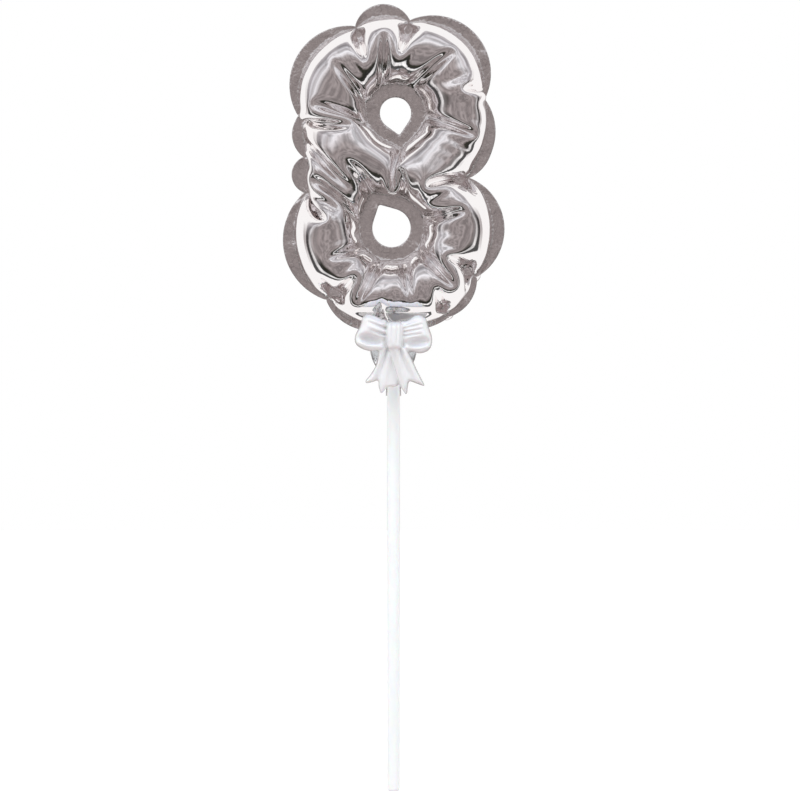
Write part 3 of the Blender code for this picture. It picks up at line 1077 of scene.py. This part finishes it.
class Ties:
    """Lengths to keep between pairs of points, in batches that share no point."""

    def __init__(self, pairs: np.ndarray, flat: np.ndarray, held: np.ndarray) -> None:
        """Measure the pairs and sort them into batches.

        Args:
            pairs: two point numbers each.
            flat: the unstretched places.
            held: which points don't give way.
        """
        pairs = pairs[~(held[pairs[:, 0]] & held[pairs[:, 1]])]
        used = [0] * len(flat)
        batches: dict[int, list[int]] = {}
        for number, (a, b) in enumerate(pairs.tolist()):
            taken, batch = used[a] | used[b], 0
            while taken >> batch & 1:
                batch += 1
            used[a] |= 1 << batch
            used[b] |= 1 << batch
            batches.setdefault(batch, []).append(number)
        self.batches = []
        for numbers in batches.values():
            a, b = pairs[numbers, 0], pairs[numbers, 1]
            length = np.linalg.norm(flat[a] - flat[b], axis=1)
            free_a, free_b = (~held[a]).astype(float), (~held[b]).astype(float)
            self.batches.append((a, b, length, free_a, free_b))

    def settle(self, places: np.ndarray, pull: float, push: float) -> None:
        """Move points towards their lengths.

        Args:
            places: the points' places, changed in place.
            pull: how firmly a stretched pair comes back.
            push: how firmly a squeezed pair comes back.
        """
        for a, b, length, free_a, free_b in self.batches:
            apart = places[a] - places[b]
            now = np.sqrt((apart * apart).sum(axis=1))
            firmness = np.where(now > length, pull, push) / (free_a + free_b)
            step = (firmness * (now - length) / np.maximum(now, 1e-12))[:, None] * apart
            places[a] -= free_a[:, None] * step
            places[b] += free_b[:, None] * step


class FoilPress:
    """Two flat sheets with their seals drawn in, blown up by the air between them."""

    def __init__(self, cut: EightCut, plan: PressPlan) -> None:
        """Lay the two sheets on each other.

        Args:
            cut: the flat figure.
            plan: how to blow it up.
        """
        self.cut, self.plan = cut, plan
        count = len(cut.points)
        swells = cut.swells
        self.total = count + int(swells.sum())
        twin = np.arange(count)
        twin[swells] = count + np.arange(int(swells.sum()))
        self.front = cut.faces[cut.face_swells]
        self.back = twin[self.front][:, ::-1]
        self.seal = cut.faces[~cut.face_swells]
        self.flat = np.zeros((self.total, 3))
        self.flat[:count, [0, 2]] = cut.points
        self.flat[count:, [0, 2]] = cut.points[swells]
        self.held = np.zeros(self.total, bool)
        self.goal = np.zeros((self.total, 3))
        self.held[:count], self.goal[:count] = cut.blown_up()

    def run(self) -> np.ndarray:
        """Blow the balloon up.

        Returns:
            Every point's place relative to the neck.
        """
        plan, cut = self.plan, self.cut
        both = np.vstack([self.front, self.back])
        edges = Ties(edges_of(both), self.flat, self.held)
        hinges = np.vstack([hinges_of(self.front), hinges_of(self.back)])
        hinges = Ties(np.unique(np.sort(hinges, axis=1), axis=0), self.flat, self.held)
        places = self.flat + np.array((0.0, 0.0, self.goal[self.held, 2].mean()))
        near = np.minimum(cut.to_seals, plan.tube_half)
        bulge = plan.first_swell * np.sqrt(np.maximum(2 * plan.tube_half * near - near ** 2, 0.0))
        bulge *= 1.0 - plan.crease * cut.creased
        places[:len(cut.points), 1] = np.where(cut.swells, -bulge, 0.0)
        places[len(cut.points):, 1] = bulge[cut.swells]
        chance = np.random.default_rng(plan.seed)
        places[~self.held, 1] += chance.normal(0.0, plan.jitter, int((~self.held).sum()))
        start, speed = places.copy(), np.zeros_like(places)
        cell = plan.step ** 2 * math.sqrt(3) / 2
        for number in range(plan.rounds):
            share = min(1.0, (number + 1) / (plan.drawn * plan.rounds))
            share = share * share * (3 - 2 * share)
            speed = plan.drag * speed
            push = plan.push * (plan.first_push + (1.0 - plan.first_push) * share)
            speed += push * self._normals(places, both) / cell
            speed[self.held] = 0.0
            moved = places + speed
            moved[self.held] = start[self.held] * (1 - share) + self.goal[self.held] * share
            for _ in range(plan.passes):
                edges.settle(moved, 1.0, plan.crush)
                hinges.settle(moved, 0.0, plan.bending)
            speed, places = moved - places, moved
        LOG.info("balloon blown up, last move %.3f mm", 1000 * np.abs(speed).max())
        return places

    def _normals(self, places: np.ndarray, faces: np.ndarray) -> np.ndarray:
        """Share the foil's area out to its points.

        Args:
            places: the points' places.
            faces: the triangles that swell.

        Returns:
            Each point's outward area, as a vector.
        """
        a, b, c = (places[faces[:, k]] for k in range(3))
        areas = np.cross(b - a, c - a) / 6
        result = np.zeros_like(places)
        for corner in range(3):
            for axis in range(3):
                result[:, axis] += np.bincount(faces[:, corner], areas[:, axis], self.total)
        return result


def smoothed(places: np.ndarray, faces: np.ndarray, held: np.ndarray, turns: int) -> np.ndarray:
    """Even out mesh-sized ripples.

    Args:
        places: the points' places.
        faces: the triangles that join them.
        held: points that stay.
        turns: how many times.

    Returns:
        The new places.
    """
    edges = edges_of(faces)
    ends = np.concatenate([edges[:, 0], edges[:, 1]])
    others = np.concatenate([edges[:, 1], edges[:, 0]])
    count = np.maximum(np.bincount(ends, minlength=len(places)), 1)
    for _ in range(turns):
        mean = np.stack([np.bincount(ends, places[others, k], len(places)) / count
                         for k in range(3)], axis=1)
        places = np.where(held[:, None], places, 0.5 * places + 0.5 * mean)
    return places


@dataclass
class FoilBalloon:
    """The two foil sheets of the figure eight.

    bow_room is how far forward the foil may stand at bow_height above the neck; the room
    grows above that height and shrinks below it by the two slopes. channel_half,
    channel_top and channel_swell are the filling channel's half width, height and depth.
    """

    groups: NodeGroups
    film: float = 0.00005
    apart: float = 0.00006
    ruffle: float = 0.00020
    bow_room: float = 0.0090
    bow_height: float = 0.0098
    slope_above: float = 1.7
    slope_below: float = 0.58
    least_room: float = 0.0008
    firmness: int = 8
    channel_half: float = 0.0030
    channel_top: float = 0.0100
    channel_swell: float = 0.0007
    ruffle_seed: int = 11
    ruffle_turns: int = 4

    def build(self) -> list[bpy.types.Object]:
        """Blow the balloon up and make its two sheets.

        Returns:
            The front and back sheets.
        """
        plan = FINE
        cut = EightCut(plan.step)
        press = FoilPress(cut, plan)
        places = press.run()
        every = np.vstack([press.front, press.back])
        places = smoothed(places, every, press.held, 1)
        places[:, 1] = self._behind_bow(places)
        places += self._ruffles(press)
        sealed = press.held.astype(float)
        pieces = []
        finish = FoilFinish().build(self.groups)
        for side, faces in ((Side.FRONT, press.front), (Side.BACK, press.back)):
            seal = press.seal if side is Side.FRONT else press.seal[:, ::-1]
            name = f"{side.name.lower()}_foil"
            piece = self._sheet(name, side, places, np.vstack([faces, seal]), sealed, finish)
            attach(piece, "balloon")
            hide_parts(f"{side.name.lower()}_foil_sheet")
            f"foil_{side.name.lower()}"
            pieces.append(piece)
        return pieces

    def _behind_bow(self, places: np.ndarray) -> np.ndarray:
        """Press the foil in behind the bow.

        Args:
            places: the points' places relative to the neck.

        Returns:
            The points' new depths.
        """
        above = places[:, 2] - self.bow_height
        room = self.bow_room + np.where(above > 0.0, self.slope_above, self.slope_below) * above
        room = np.maximum(room, self.least_room)
        front = np.maximum(-places[:, 1], 0.0)
        pressed = front / (1.0 + (front / room) ** self.firmness) ** (1 / self.firmness)
        return np.where(places[:, 1] < 0.0, -pressed, places[:, 1])

    def _ruffles(self, press: FoilPress) -> np.ndarray:
        """Ripple the seals a little.

        Args:
            press: the blown-up balloon.

        Returns:
            How far each point moves.
        """
        chance = np.random.default_rng(self.ruffle_seed)
        wave = np.zeros((press.total, 3))
        wave[:, 1] = chance.normal(0.0, 1.0, press.total)
        every = np.vstack([press.front, press.back, press.seal])
        wave = smoothed(wave, every, np.zeros(press.total, bool), self.ruffle_turns)
        wave[:, 1] *= self.ruffle / float(wave[:, 1].std())
        wave[~press.held] = 0.0
        return wave

    def _sheet(self, name: str, side: Side, places: np.ndarray, faces: np.ndarray,
               sealed: np.ndarray, finish: bpy.types.Material) -> bpy.types.Object:
        """Make one sheet.

        Args:
            name: its name.
            side: the way it faces.
            places: all the balloon's points, relative to the neck.
            faces: this sheet's triangles.
            sealed: 1 on the seals and 0 on the body, for each point.
            finish: its material.

        Returns:
            The sheet.
        """
        used, numbers = np.unique(faces, return_inverse=True)
        points = places[used] + np.array(NECK)
        shut = sealed[used]
        points[:, 1] += side.value * self.apart * shut
        aside = np.clip(np.abs(points[:, 0]) / self.channel_half, 0.0, 1.0)
        above = np.clip((points[:, 2] - NECK.z) / self.channel_top, 0.0, 1.0)
        room = self.channel_swell * np.cos(aside * math.pi / 2) * (above < 1.0)
        points[:, 1] = side.value * np.maximum(side.value * points[:, 1], room)
        piece = mesh_object(name, points, numbers.reshape(-1, 3), finish)
        mark_sealed(piece, shut)
        finer = piece.modifiers.new("Finer", "SUBSURF")
        finer.levels = finer.render_levels = 1
        add_film(piece, self.film, 1.0)
        return piece


@dataclass
class FoilTail:
    """The foil's narrow tail, crumpled through the cup's slot.

    route is the tail's way down, as depths and heights in metres. folds are waves: how
    often each one turns across and down the strip, in radians, and its size.
    """

    groups: NodeGroups
    route: tuple[Place, ...] = (
        (0.0, 0.1852), (0.0, 0.1830), (0.0002, 0.1806), (0.0024, 0.1768), (0.0049, 0.1726),
        (0.0049, 0.1660), (0.0049, 0.1582),
    )
    top_half: float = 0.0042
    half: float = 0.0030
    cut_width: float = 0.0100
    cut_mean: float = 0.0076
    apart: float = 0.00016
    film: float = 0.00005
    crumple: float = 0.00014
    folds: tuple[tuple[float, float, float], ...] = ((9.0, 7.0, 1.0), (-5.0, 23.0, 0.6))
    taper: float = 5.0
    dulled: float = 0.6
    rows: int = 64
    columns: int = 20

    def build(self) -> list[bpy.types.Object]:
        """Make the tail's two sheets.

        Returns:
            The front and back tails.
        """
        finish = FoilFinish(name="tail_foil", density=520.0).build(self.groups)
        return [self._strip(side, finish) for side in (Side.FRONT, Side.BACK)]

    def _spine(self) -> np.ndarray:
        """Draw a smooth curve down the route.

        Returns:
            Its points, evenly spaced.
        """
        knots = np.array(self.route)
        knots = np.vstack([2 * knots[0] - knots[1], knots, 2 * knots[-1] - knots[-2]])
        curve = []
        for stretch in zip(knots, knots[1:], knots[2:], knots[3:]):
            curve += smooth_stretch(*stretch, 12)
        curve = np.array(curve + [knots[-2]])
        run = np.concatenate([[0.0], np.cumsum(np.linalg.norm(np.diff(curve, axis=0), axis=1))])
        places = np.linspace(0.0, run[-1], self.rows + 1)
        return np.stack([np.interp(places, run, curve[:, k]) for k in (0, 1)], axis=1)

    def _strip(self, side: Side, finish: bpy.types.Material) -> bpy.types.Object:
        """Make one sheet of the tail.

        Args:
            side: the way it faces.
            finish: its material.

        Returns:
            The strip.
        """
        spine = self._spine()
        way = np.gradient(spine, axis=0)
        way /= np.linalg.norm(way, axis=1)[:, None]
        points = []
        for row, ((y, z), (dy, dz)) in enumerate(zip(spine, way)):
            down = row / self.rows
            half = self.half + (self.top_half - self.half) * max(0.0, 1 - self.taper * down)
            for across in np.linspace(-1.0, 1.0, self.columns + 1):
                fold = sum(size * math.sin(sideways * across + downwards * down)
                           for sideways, downwards, size in self.folds)
                lift = self.crumple * fold + side.value * self.apart
                points.append((half * across, y - dz * lift, z + dy * lift))
        width = self.columns + 1
        faces = [(r * width + c, r * width + c + 1, (r + 1) * width + c + 1, (r + 1) * width + c)
                 for r in range(self.rows) for c in range(self.columns)]
        name = f"{side.name.lower()}_tail"
        piece = mesh_object(name, np.array(points), faces, finish)
        mark_sealed(piece, np.full(len(points), self.dulled))
        add_film(piece, self.film, 0.0)
        apply_modifiers(piece)
        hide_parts(f"{side.name.lower()}_foil_tail")
        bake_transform(piece)
        return piece


# ---------------------------------------------------------------- the bow


@dataclass(frozen=True)
class Fold:
    """A ridge (or, with a negative height, a groove) from one place to another."""

    start: Place
    end: Place
    height: float
    half: float
    fade: float = 0.7

    def lift(self, points: np.ndarray) -> np.ndarray:
        """Measure the fold at some points.

        Args:
            points: the points.

        Returns:
            How much each point is lifted.
        """
        start, end = np.array(self.start), np.array(self.end)
        side = end - start
        share = np.clip((points - start) @ side / (side @ side), 0.0, 1.0)
        gap = np.linalg.norm(points - start - share[:, None] * side, axis=1)
        return self.height * (1.0 - self.fade * share) * np.exp(-(gap / self.half) ** 2)


@dataclass(frozen=True)
class Hollow:
    """An oval hollow: its middle, its half sizes, its tilt in degrees and its depth."""

    middle: Place
    half: Place
    tilt: float
    depth: float
    flatness: float = 1.6

    def sink(self, points: np.ndarray) -> np.ndarray:
        """Measure the hollow at some points.

        Args:
            points: the points.

        Returns:
            How much each point is sunk.
        """
        turn = math.radians(self.tilt)
        out = points - np.array(self.middle)
        along = (out[:, 0] * math.cos(turn) + out[:, 1] * math.sin(turn)) / self.half[0]
        across = (out[:, 1] * math.cos(turn) - out[:, 0] * math.sin(turn)) / self.half[1]
        return self.depth * np.exp(-(along ** 2 + across ** 2) ** self.flatness)


@dataclass(frozen=True)
class Relief:
    """One moulded part of the bow: an outline with a rounded edge, folds and hollows.

    Places are in millimetres across and above the peg; thick is how far it stands off
    the flat back, edge is the radius of its rounded edge, and slope is how much thicker
    it gets per millimetre outwards and upwards.
    """

    outline: tuple[Place, ...]
    thick: float
    edge: float
    slope: Place = (0.0, 0.0)
    folds: tuple[Fold, ...] = ()
    hollows: tuple[Hollow, ...] = ()
    thinnest: float = 0.6
    rim: float = 0.12

    def smooth_outline(self, step: float) -> np.ndarray:
        """Draw a smooth closed curve through the outline's points.

        Args:
            step: the distance between the curve's points.

        Returns:
            The curve's points.
        """
        knots = np.array(self.outline)
        curve = []
        for stretch in zip(*(np.roll(knots, turn, axis=0) for turn in (1, 0, -1, -2))):
            curve += smooth_stretch(*stretch, 10)
        return resampled(np.array(curve), step)

    def mesh(self, step: float) -> tuple[np.ndarray, list]:
        """Make the closed relief.

        Args:
            step: the size of its triangles.

        Returns:
            The points, in millimetres across, in front of the back and above the peg, and
            the faces.
        """
        line = self.smooth_outline(step)
        grid = triangle_grid(line, [], step)
        flat, faces = triangulated(grid, [line], line, [])
        near = np.clip(distance_to(flat, line) / self.edge, 0.0, 1.0)
        rounding = np.sqrt(np.maximum(1.0 - (1.0 - near) ** 2, 0.0))
        middle = flat.mean(axis=0)
        height = self.thick + (flat - middle) @ np.array(self.slope)
        for fold in self.folds:
            height = height + fold.lift(flat)
        for hollow in self.hollows:
            height = height - hollow.sink(flat)
        rise = np.maximum(height, self.thinnest) * (self.rim + (1.0 - self.rim) * rounding)
        count = len(flat)
        front = np.stack([flat[:, 0], -rise, flat[:, 1]], axis=1)
        back = np.stack([flat[:, 0], np.zeros(count), flat[:, 1]], axis=1)
        pairs = {}
        for a, b, c in faces.tolist():
            pairs.update(dict.fromkeys(((a, b), (b, c), (c, a))))
        sides = [(two, one, one + count, two + count)
                 for one, two in pairs if (two, one) not in pairs]
        closed = faces.tolist() + (faces[:, ::-1] + count).tolist() + sides
        return np.vstack([front, back]), closed


@dataclass
class Bow:
    """The glossy bow: two looped halves, a knot and two swallow tails, in one moulding."""

    groups: NodeGroups
    voxel: float = 0.00024
    step: float = 0.34
    soften: int = 5
    gap: float = 0.0003
    peg_radius: float = 0.0011
    peg_length: float = 0.0035
    peg_height: float = 0.1765
    left_loop: Relief = Relief(
        ((-2.2, 10.6), (-5.0, 12.4), (-8.0, 13.8), (-10.8, 14.1), (-12.4, 12.6), (-13.4, 9.4),
         (-15.0, 6.2), (-15.4, 3.6), (-14.2, 1.4), (-11.0, -0.2), (-7.4, -0.6), (-3.0, 0.2)),
        7.4, 3.6, (-0.08, 0.04),
        (Fold((-3.0, 9.8), (-9.8, 12.4), 1.0, 0.7), Fold((-3.0, 6.9), (-9.4, 9.2), 1.2, 0.7),
         Fold((-3.0, 8.4), (-9.8, 10.9), -1.6, 0.45), Fold((-3.2, 6.0), (-8.8, 7.6), -1.6, 0.4),
         Fold((-3.2, 5.0), (-8.0, 5.9), 0.9, 0.5), Fold((-14.4, 2.4), (-4.0, 0.8), 1.4, 1.1)),
        (Hollow((-9.2, 3.9), (5.0, 2.1), -8.0, 3.8),),
    )
    right_loop: Relief = Relief(
        ((2.6, 10.4), (5.2, 11.6), (8.4, 13.6), (11.4, 13.6), (13.2, 12.0), (14.0, 9.0),
         (15.2, 5.6), (15.3, 2.4), (14.0, -0.2), (11.0, -1.4), (7.6, -1.0), (3.4, 0.2)),
        7.6, 3.6, (0.08, 0.04),
        (Fold((3.4, 9.6), (10.0, 11.8), -1.5, 0.42), Fold((3.4, 8.2), (11.0, 10.0), -1.5, 0.42),
         Fold((3.4, 6.8), (11.4, 8.2), -1.5, 0.42), Fold((3.4, 5.4), (11.0, 6.2), -1.4, 0.42),
         Fold((14.4, 1.2), (4.4, 0.2), 1.3, 1.1)),
        (Hollow((9.8, 2.7), (4.6, 2.0), 5.0, 3.4),),
    )
    knot: Relief = Relief(
        ((-3.2, 8.6), (-2.0, 11.0), (1.0, 11.4), (3.6, 10.8), (4.4, 8.2), (4.2, 3.0),
         (3.4, 0.2), (0.6, -0.8), (-2.2, 0.0), (-3.4, 3.2)),
        9.2, 3.0, (0.0, 0.02),
        (Fold((-1.2, 11.2), (-1.4, 0.6), -1.3, 0.42), Fold((1.7, 11.2), (1.4, 2.0), -1.1, 0.40),
         Fold((3.0, 10.8), (3.0, 4.0), -0.8, 0.35), Fold((0.3, 10.4), (0.2, 1.6), 0.5, 0.7)),
    )
    left_tail: Relief = Relief(
        ((-2.6, 1.6), (-5.6, 0.4), (-6.8, -5.6), (-9.0, -9.6), (-11.0, -12.2), (-10.8, -13.3),
         (-8.4, -12.9), (-6.2, -12.3), (-5.9, -14.6), (-5.2, -17.0), (-4.3, -17.1),
         (-2.2, -15.0), (1.8, -14.0), (3.2, -6.0), (2.4, 0.6)),
        3.4, 1.1, (-0.04, 0.07),
        (Fold((-3.6, 0.6), (-8.4, -11.4), 1.3, 0.9), Fold((-2.4, 0.0), (-6.0, -11.6), -1.3, 0.7),
         Fold((-1.4, -0.6), (-3.6, -14.0), 0.9, 0.9)),
    )
    right_tail: Relief = Relief(
        ((-2.2, 1.2), (-1.4, -2.6), (0.4, -8.2), (2.2, -13.6), (4.4, -17.2), (5.4, -17.4),
         (5.8, -14.4), (6.4, -12.6), (9.0, -13.4), (11.9, -14.4), (12.2, -13.7),
         (9.6, -8.6), (6.6, -2.0), (4.4, 1.4)),
        5.4, 1.2, (0.03, 0.10),
        (Fold((1.0, 0.6), (4.6, -14.6), 1.3, 1.0), Fold((2.6, 0.2), (6.8, -11.4), -1.3, 0.8),
         Fold((3.6, 0.4), (9.8, -12.6), 0.9, 0.9)),
    )

    def build(self) -> list[bpy.types.Object]:
        """Mould the bow.

        Returns:
            The bow, in a list.
        """
        peg_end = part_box("bow")[1][1]
        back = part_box("holder_cup")[0][1] - self.gap
        bm = bmesh.new()
        for part in (self.left_loop, self.right_loop, self.knot, self.left_tail, self.right_tail):
            points, faces = part.mesh(self.step)
            verts = [bm.verts.new((x * MM, back + y * MM, self.peg_height + z * MM))
                     for x, y, z in points]
            for face in faces:
                bm.faces.new([verts[i] for i in face])
        peg = bmesh.ops.create_cone(bm, cap_ends=True, segments=24, radius1=self.peg_radius,
                                    radius2=self.peg_radius, depth=self.peg_length)["verts"]
        for vert in peg:
            vert.co = Vector((vert.co.x, peg_end - self.peg_length / 2 + vert.co.z,
                              self.peg_height + vert.co.y))
        bmesh.ops.recalc_face_normals(bm, faces=bm.faces)
        mesh = bpy.data.meshes.new("pearl_bow")
        bm.to_mesh(mesh)
        bm.free()
        bow = bpy.data.objects.new("pearl_bow", mesh)
        bpy.context.collection.objects.link(bow)
        fuse = bow.modifiers.new("Fuse", "REMESH")
        fuse.mode = "VOXEL"
        fuse.voxel_size = self.voxel
        fuse.use_smooth_shade = True
        soften = bow.modifiers.new("Soften", "SMOOTH")
        soften.factor = 0.5
        soften.iterations = self.soften
        apply_modifiers(bow)
        bow.data.shade_smooth()
        bow.data.materials.clear()
        bow.data.materials.append(PearlFinish().build(self.groups))
        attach(bow, "bow")
        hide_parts("bow")
        return [bow]


@dataclass
class Fittings:
    """The plain moulded pieces, which keep their shapes: stick, cup and valve films."""

    groups: NodeGroups

    def build(self) -> list[bpy.types.Object]:
        """Dress the pieces.

        Returns:
            The pieces.
        """
        finishes = {
            "stick": StickFinish(),
            "holder_cup": ClearFinish(),
            "valve_front_film": ClearFinish("valve_film", roughness=0.15, ripple=900.0),
            "valve_back_film": ClearFinish("valve_film_back", roughness=0.15, ripple=900.0),
        }
        pieces = []
        for name, finish in finishes.items():
            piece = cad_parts[name]
            piece.data.materials.clear()
            piece.data.materials.append(finish.build(self.groups))
            pieces.append(piece)
        return pieces


# ---------------------------------------------------------------- studio


@dataclass(frozen=True)
class Softbox:
    """A soft lamp: where it stands, its size and its power."""

    name: str
    place: tuple[float, float, float]
    size: Place
    power: float


@dataclass
class Studio:
    """Pale floor, white surroundings with a darker side towards the viewer, and lamps."""

    groups: NodeGroups
    distance: float = 2.0
    focal: float = 225.0
    aim: Place = (0.0026, 0.1565)
    farthest: float = 20.0
    floor_radius: float = 4.0
    lamp_aim: float = 0.22
    lamps: tuple[Softbox, ...] = (
        Softbox("left_softbox", (-0.9, -0.9, 0.7), (0.5, 0.9), 3.0),
        Softbox("right_softbox", (1.0, -0.8, 0.5), (0.35, 0.9), 1.8),
        Softbox("top_softbox", (0.0, -0.5, 1.2), (0.9, 0.4), 3.6),
        Softbox("key_light", (-0.40, -1.0, 0.80), (0.12, 0.12), 0.6),
        Softbox("back_softbox", (0.3, 1.2, 0.9), (0.9, 0.6), 1.8),
    )

    def build(self) -> None:
        """Set the studio up."""
        self._floor()
        self._surroundings()
        for lamp in self.lamps:
            self._lamp(lamp)
        self._camera()
        bpy.context.scene.view_settings.view_transform = "Standard"

    def _floor(self) -> None:
        """Lay the floor, level with the stick's tip."""
        bm = bmesh.new()
        bmesh.ops.create_circle(bm, cap_ends=True, radius=self.floor_radius, segments=96)
        mesh = bpy.data.meshes.new("floor")
        bm.to_mesh(mesh)
        bm.free()
        mesh.materials.append(FloorFinish().build(self.groups))
        floor = bpy.data.objects.new("floor", mesh)
        floor.location.z = CAD_BOX[0][2]
        floor.visible_glossy = False
        bpy.context.collection.objects.link(floor)

    def _lamp(self, lamp: Softbox) -> None:
        """Set up one softbox, facing the balloon. The foil doesn't mirror it.

        Args:
            lamp: the softbox.
        """
        light = bpy.data.lights.new(lamp.name, "AREA")
        light.shape = "RECTANGLE"
        light.size, light.size_y = lamp.size
        light.energy = lamp.power
        box = bpy.data.objects.new(lamp.name, light)
        box.location = lamp.place
        aim = Vector((0.0, 0.0, self.lamp_aim)) - Vector(lamp.place)
        box.rotation_euler = aim.to_track_quat("-Z", "Y").to_euler()
        box.visible_glossy = False
        bpy.context.collection.objects.link(box)

    def _surroundings(self) -> None:
        """Paint the room: dim behind the viewer, a black edge, and white all round.

        What the foil mirrors and what lights the plain surfaces differ a little, and the
        viewer sees plain white behind the topper.
        """
        world = bpy.data.worlds.new("studio")
        bpy.context.scene.world = world
        world.use_nodes = True
        tree = world.node_tree
        tree.nodes.clear()
        graph = Graph(tree)
        way = graph.add("TexCoord").outputs["Generated"]
        parts = graph.add("SeparateXYZ", {0: way})
        depth = graph.spread(parts.outputs["Y"], (-1.0, 1.0))
        far = [(0.84, (1.00, 1.00, 1.00)), (0.90, (0.46, 0.43, 0.43)), (1.00, (0.38, 0.34, 0.33))]
        sides = graph.ramp(depth, [
            (0.00, (0.37, 0.33, 0.33)), (0.09, (0.32, 0.28, 0.28)), (0.14, (0.42, 0.38, 0.38)),
            (0.20, (0.33, 0.29, 0.29)), (0.27, (0.44, 0.41, 0.41)), (0.32, (0.64, 0.63, 0.64)),
            (0.35, (0.32, 0.30, 0.30)), (0.39, (0.05, 0.05, 0.05)), (0.44, (0.07, 0.06, 0.06)),
            (0.47, (0.56, 0.53, 0.53)), (0.53, (0.42, 0.39, 0.39)), (0.55, (1.00, 1.00, 1.00)),
            *far,
        ])
        above = graph.ramp(depth, [
            (0.00, (0.37, 0.33, 0.33)), (0.06, (0.44, 0.40, 0.40)), (0.11, (0.68, 0.66, 0.68)),
            (0.17, (0.88, 0.89, 0.93)), (0.24, (0.54, 0.52, 0.54)), (0.30, (0.74, 0.74, 0.78)),
            (0.36, (0.40, 0.38, 0.40)), (0.44, (0.52, 0.50, 0.52)), (0.47, (1.00, 1.00, 1.00)),
            *far,
        ])
        below = graph.ramp(depth, [
            (0.00, (0.36, 0.32, 0.32)), (0.07, (0.29, 0.26, 0.26)), (0.12, (0.40, 0.36, 0.36)),
            (0.16, (0.24, 0.21, 0.21)), (0.20, (0.04, 0.04, 0.03)), (0.29, (0.03, 0.03, 0.03)),
            (0.31, (0.90, 0.90, 0.90)), (0.36, (1.00, 1.00, 1.00)), (0.38, (0.10, 0.10, 0.10)),
            (0.46, (0.08, 0.08, 0.08)), (0.48, (1.00, 1.00, 1.00)), *far,
        ])
        up = graph.spread(parts.outputs["Z"], (0.05, 0.45))
        down = graph.spread(parts.outputs["Z"], (-0.05, -0.45))
        room = graph.mix(down, graph.mix(up, sides, above), below)
        clouds = graph.spread(graph.noise(way, 5.0, 1.0), (0.35, 0.65), (-0.33, 0.15))
        dim = graph.spread(depth, (0.38, 0.46), (1.0, 0.0))
        clouds = graph.maths("MULTIPLY_ADD", clouds, dim, 1.0)
        room = graph.add("VectorMath", {0: room, "Scale": clouds}, operation="SCALE").outputs[0]
        seen = graph.add("Background", {"Color": rgba(WHITE), "Strength": 1.0})
        front = graph.spread(depth, (0.30, 0.62), (1.75, 0.55))
        fill = graph.add("VectorMath", {0: room, "Scale": front}, operation="SCALE").outputs[0]
        ray = graph.add("LightPath").outputs
        room = graph.mix(ray["Is Diffuse Ray"], room, fill)
        lit = graph.add("Background", {"Color": room, "Strength": 1.0})
        both = graph.add("MixShader", {0: ray["Is Camera Ray"], 1: lit.outputs[0],
                                       2: seen.outputs[0]})
        graph.add("OutputWorld", {"Surface": both.outputs[0]})

    def _camera(self) -> None:
        """Put the camera straight in front, far off."""
        lens = bpy.data.cameras.new("camera")
        lens.lens = self.focal
        lens.clip_end = self.farthest
        camera = bpy.data.objects.new("camera", lens)
        camera.location = (self.aim[0], -self.distance, self.aim[1])
        camera.rotation_euler = (math.pi / 2, 0.0, 0.0)
        bpy.context.collection.objects.link(camera)
        bpy.context.scene.camera = camera


def main() -> None:
    """Build the topper's pieces in order, then the studio."""
    logging.basicConfig(level=logging.INFO, format="%(message)s")
    groups = NodeGroups()
    builders = (Fittings(groups), Bow(groups), FoilTail(groups), FoilBalloon(groups))
    for builder in builders:
        for piece in builder.build():
            LOG.info("%s: %s", type(builder).__name__, piece.name)
    Studio(groups).build()


if __name__ == "__main__":
    main()
